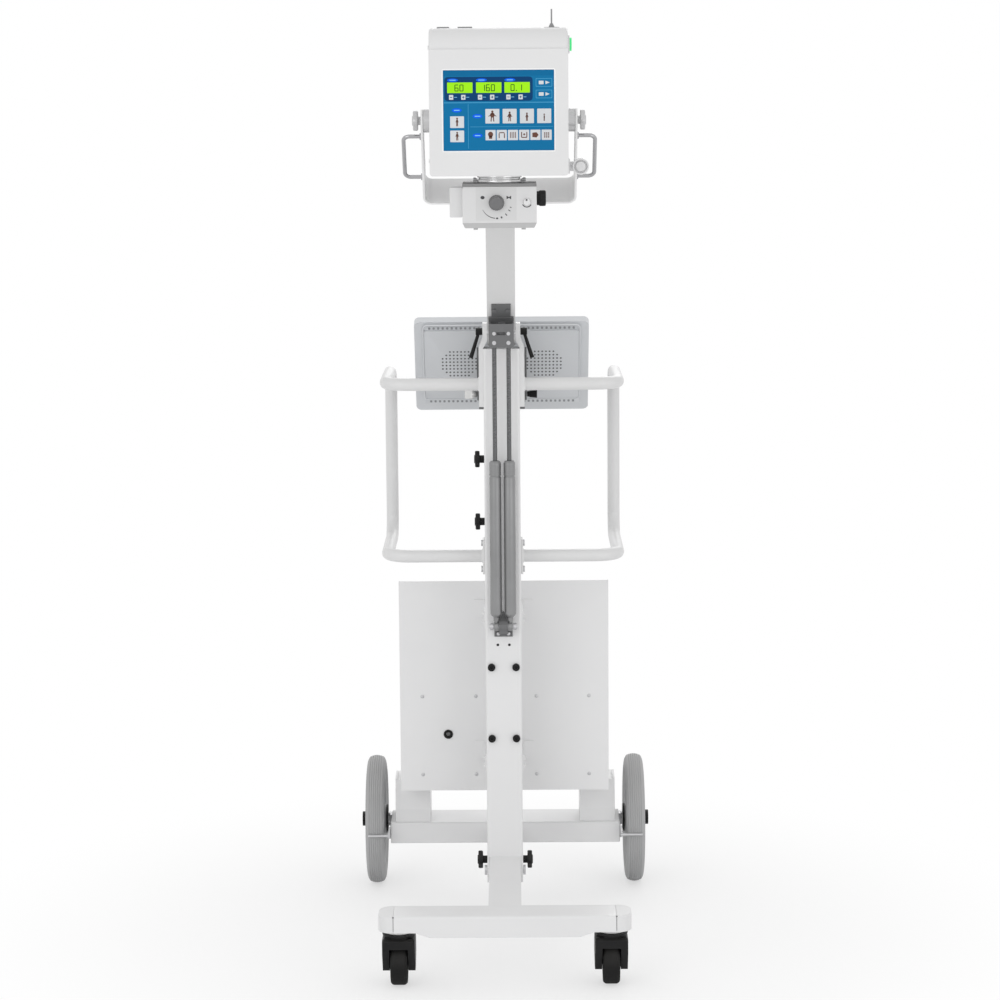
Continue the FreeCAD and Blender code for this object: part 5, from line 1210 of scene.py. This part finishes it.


# Monitor: vent slots and two round-cornered speaker grilles on its sloping back, drawn as flat dark shapes of
# painted shade in place of openings

monitorHinge = jointPlace("monitor_tilt")
monitorSlope = 30     # degrees
monitorPlace = Matrix.Translation(Vector(monitorHinge)) @ Matrix.Rotation(math.radians(monitorSlope), 4, "X")
monitorBack = {"plane": 15 * mm, "middle": 61 * mm, "halfWidth": 141 * mm, "halfHeight": 81.5 * mm,
               "ridge": 3.2 * mm,
               "ridgeRise": 1.6 * mm, "ventPitch": 8.2, "ventSize": (4.0, 5.0),
               "ventHeights": (137.5, -26.5), "ventSpan": 131.2,
               "holePitch": (6.8, 7.6), "hole": 1.8, "grilleMiddle": (77.5, 58.5), "grilleColumns": 10,
               "grilleRows": 8}


def monitorHoles():
    # the slots and holes are flat dark shapes on the back: painted shade standing in for openings
    dark = plainFinish("ventDark", (0.10, 0.104, 0.11), 0.6)
    slot = plainFinish("ventGrey", (0.27, 0.278, 0.29), 0.5)
    shapes = []
    wide, tall = monitorBack["ventSize"]
    count = int(2 * monitorBack["ventSpan"] / monitorBack["ventPitch"])
    for i in range(count + 1):
        x = -monitorBack["ventSpan"] + monitorBack["ventPitch"] * i
        for z in monitorBack["ventHeights"]:
            shapes.append((rect(x - wide / 2, z - tall / 2, x + wide / 2, z + tall / 2, 1.2), 1, 0))
    columns, rows = monitorBack["grilleColumns"], monitorBack["grilleRows"]
    for side in (-1, 1):
        for i in range(columns):
            for j in range(rows):
                u, v = i - (columns - 1) / 2, j - (rows - 1) / 2
                if abs(u) + abs(v) > columns / 2 + rows / 2 - 2.5:
                    continue
                x = side * monitorBack["grilleMiddle"][0] + u * monitorBack["holePitch"][0]
                z = monitorBack["grilleMiddle"][1] + v * monitorBack["holePitch"][1]
                shapes.append((disc(x, z, monitorBack["hole"], None, 8), 0, 0))
    place = monitorPlace @ facing(0, monitorBack["plane"] - 0.02 * mm, 0)
    flatShapes("monitor_vents", shapes, [dark, slot], "monitor_housing", place, 0.08 * mm)


def monitorRidge():
    w, h = monitorBack["halfWidth"], monitorBack["halfHeight"]
    line = roundCorners([(-w, -h), (w, -h), (w, h), (-w, h)], 7 * mm, steps=8)
    wide, rise = monitorBack["ridge"], monitorBack["ridgeRise"]
    section = roundCorners([(0, -0.3 * mm), (wide, -0.3 * mm), (wide * 0.8, rise), (wide * 0.2, rise)],
                           0.7 * mm, steps=4)
    place = monitorPlace @ facing(0, monitorBack["plane"], monitorBack["middle"])
    fromShells("monitor_ridge", [frameBand(line, section)], [finish["monitor_silver"]], "monitor_housing",
               (), place, smooth=40)


def monitorPaint(middles):
    # the two hinge ears before the cover are dark
    local = (middles - monitorHinge) @ np.array(monitorPlace.inverted().to_3x3()).T
    return ((local[:, 1] < monitorBack["plane"] - 0.5 * mm) & (np.abs(local[:, 0]) < 50 * mm)).astype(int)


def wingPaint(middles):
    # the wing screw at the hinge's left end is bright
    return (middles[:, 0] < -wingStart).astype(int)


wingBright = plainFinish("wingBright", (0.84, 0.84, 0.83), 0.2, 0.0, 0.4)
softCopy("monitor_housing", 0.7 * mm, [finish["monitor_silver"], finish["dark_bracket"]], monitorPaint)
softCopy("monitor_bracket", 0.4 * mm, [finish["dark_bracket"], wingBright], wingPaint)
monitorHoles()
monitorRidge()


# Rivets on the bin's front

rivet = {"across": (-153 * mm, -53 * mm, 60 * mm, 158 * mm), "heights": (396 * mm, 247 * mm),
         "radius": 3.5 * mm}


def makeRivets():
    wall = nodeBox("cabinet_rivets")[1][1]
    r = rivet["radius"]
    shells = []
    for x in rivet["across"]:
        for z in rivet["heights"]:
            dome = lathe([(0, 0), (r, 0), (r - 0.1 * mm, 0.6 * mm), (r - 1.3 * mm, 1.45 * mm),
                          (0, 1.6 * mm)], 0.5 * mm, 32, 4)
            shells.append(moved(dome, (x, wall, z), (0, -1, 0)))
    fromShells("rivet_heads", shells, [finish["steel"]], "cabinet_rivets", ("cabinet_rivets",), smooth=50)


makeRivets()
print("monitor and bin details are made")


# Seam lines of the front beam's end caps and the screws of the springs' foot

seam = {"halfWidth": 0.45, "low": 3, "high": 27.5, "corner": 0.3, "pinHeight": 28,
        "pinRadius": 1.4}       # in millimetres
footScrew = {"apart": 18.2 * mm, "drop": 17.1 * mm, "radius": 3.3 * mm}


def faceAt(node, x, z):
    # where a line from the front meets a piece
    mesh = frame["nodes"][node].data
    tree = BVHTree.FromPolygons([vertex.co for vertex in mesh.vertices],
                                [list(face.vertices) for face in mesh.polygons])
    place = tree.ray_cast(Vector((x, -3, z)), Vector((0, 1, 0)))[0]
    return nodeBox(node)[0][1] if place is None else place[1]


def beamSeam():
    # half the distance between the two end caps' inner ends on the front face
    points = np.array([vertex.co for vertex in frame["nodes"]["beam_end_caps"].data.vertices])
    front = points[points[:, 1] < points[:, 1].min() + 12 * mm]
    return np.abs(front[:, 0]).min()


def makeSeams():
    # the joint line between beam and end cap, with a small round pin hole at its upper end; the hole is a
    # flat dark disc, painted shade in place of an opening
    low, high = nodeBox("beam_end_caps")
    half, pin = seam["halfWidth"], disc(0, seam["pinHeight"], seam["pinRadius"])
    line = rect(-half, seam["low"], half, seam["high"], seam["corner"])
    for label, side in sides.items():
        x = seamPlace * side
        y = faceAt("front_beam", x - side * 2 * mm, (low[2] + high[2]) / 2)
        place = facing(x, y, low[2])
        flatShapes("beam_seam_" + label, [(line, 0, 0), (pin, 0, 0)], [seamGrey], "front_beam", place,
                   0.15 * mm)


def makeFootScrews():
    shells = []
    r, z = footScrew["radius"], jointPlace("spring_swing")[2] - footScrew["drop"]
    for side in (-1, 1):
        x = side * footScrew["apart"] / 2
        dome = lathe([(0, 0), (r, 0), (r, 1.2 * mm), (r - 1 * mm, 2.2 * mm), (0, 2.4 * mm)], 0.5 * mm, 32, 4)
        shells.append(moved(dome, (x, faceAt("spring_foot_bracket", x, z), z), (0, -1, 0)))
    fromShells("foot_bracket_screws", shells, [finish["steel"]], "spring_foot_bracket", (), smooth=50)


seamGrey = plainFinish("seamGrey", (0.16, 0.16, 0.165), 0.6)
seamPlace = beamSeam()
makeSeams()
makeFootScrews()
print("seams and foot screws are made")
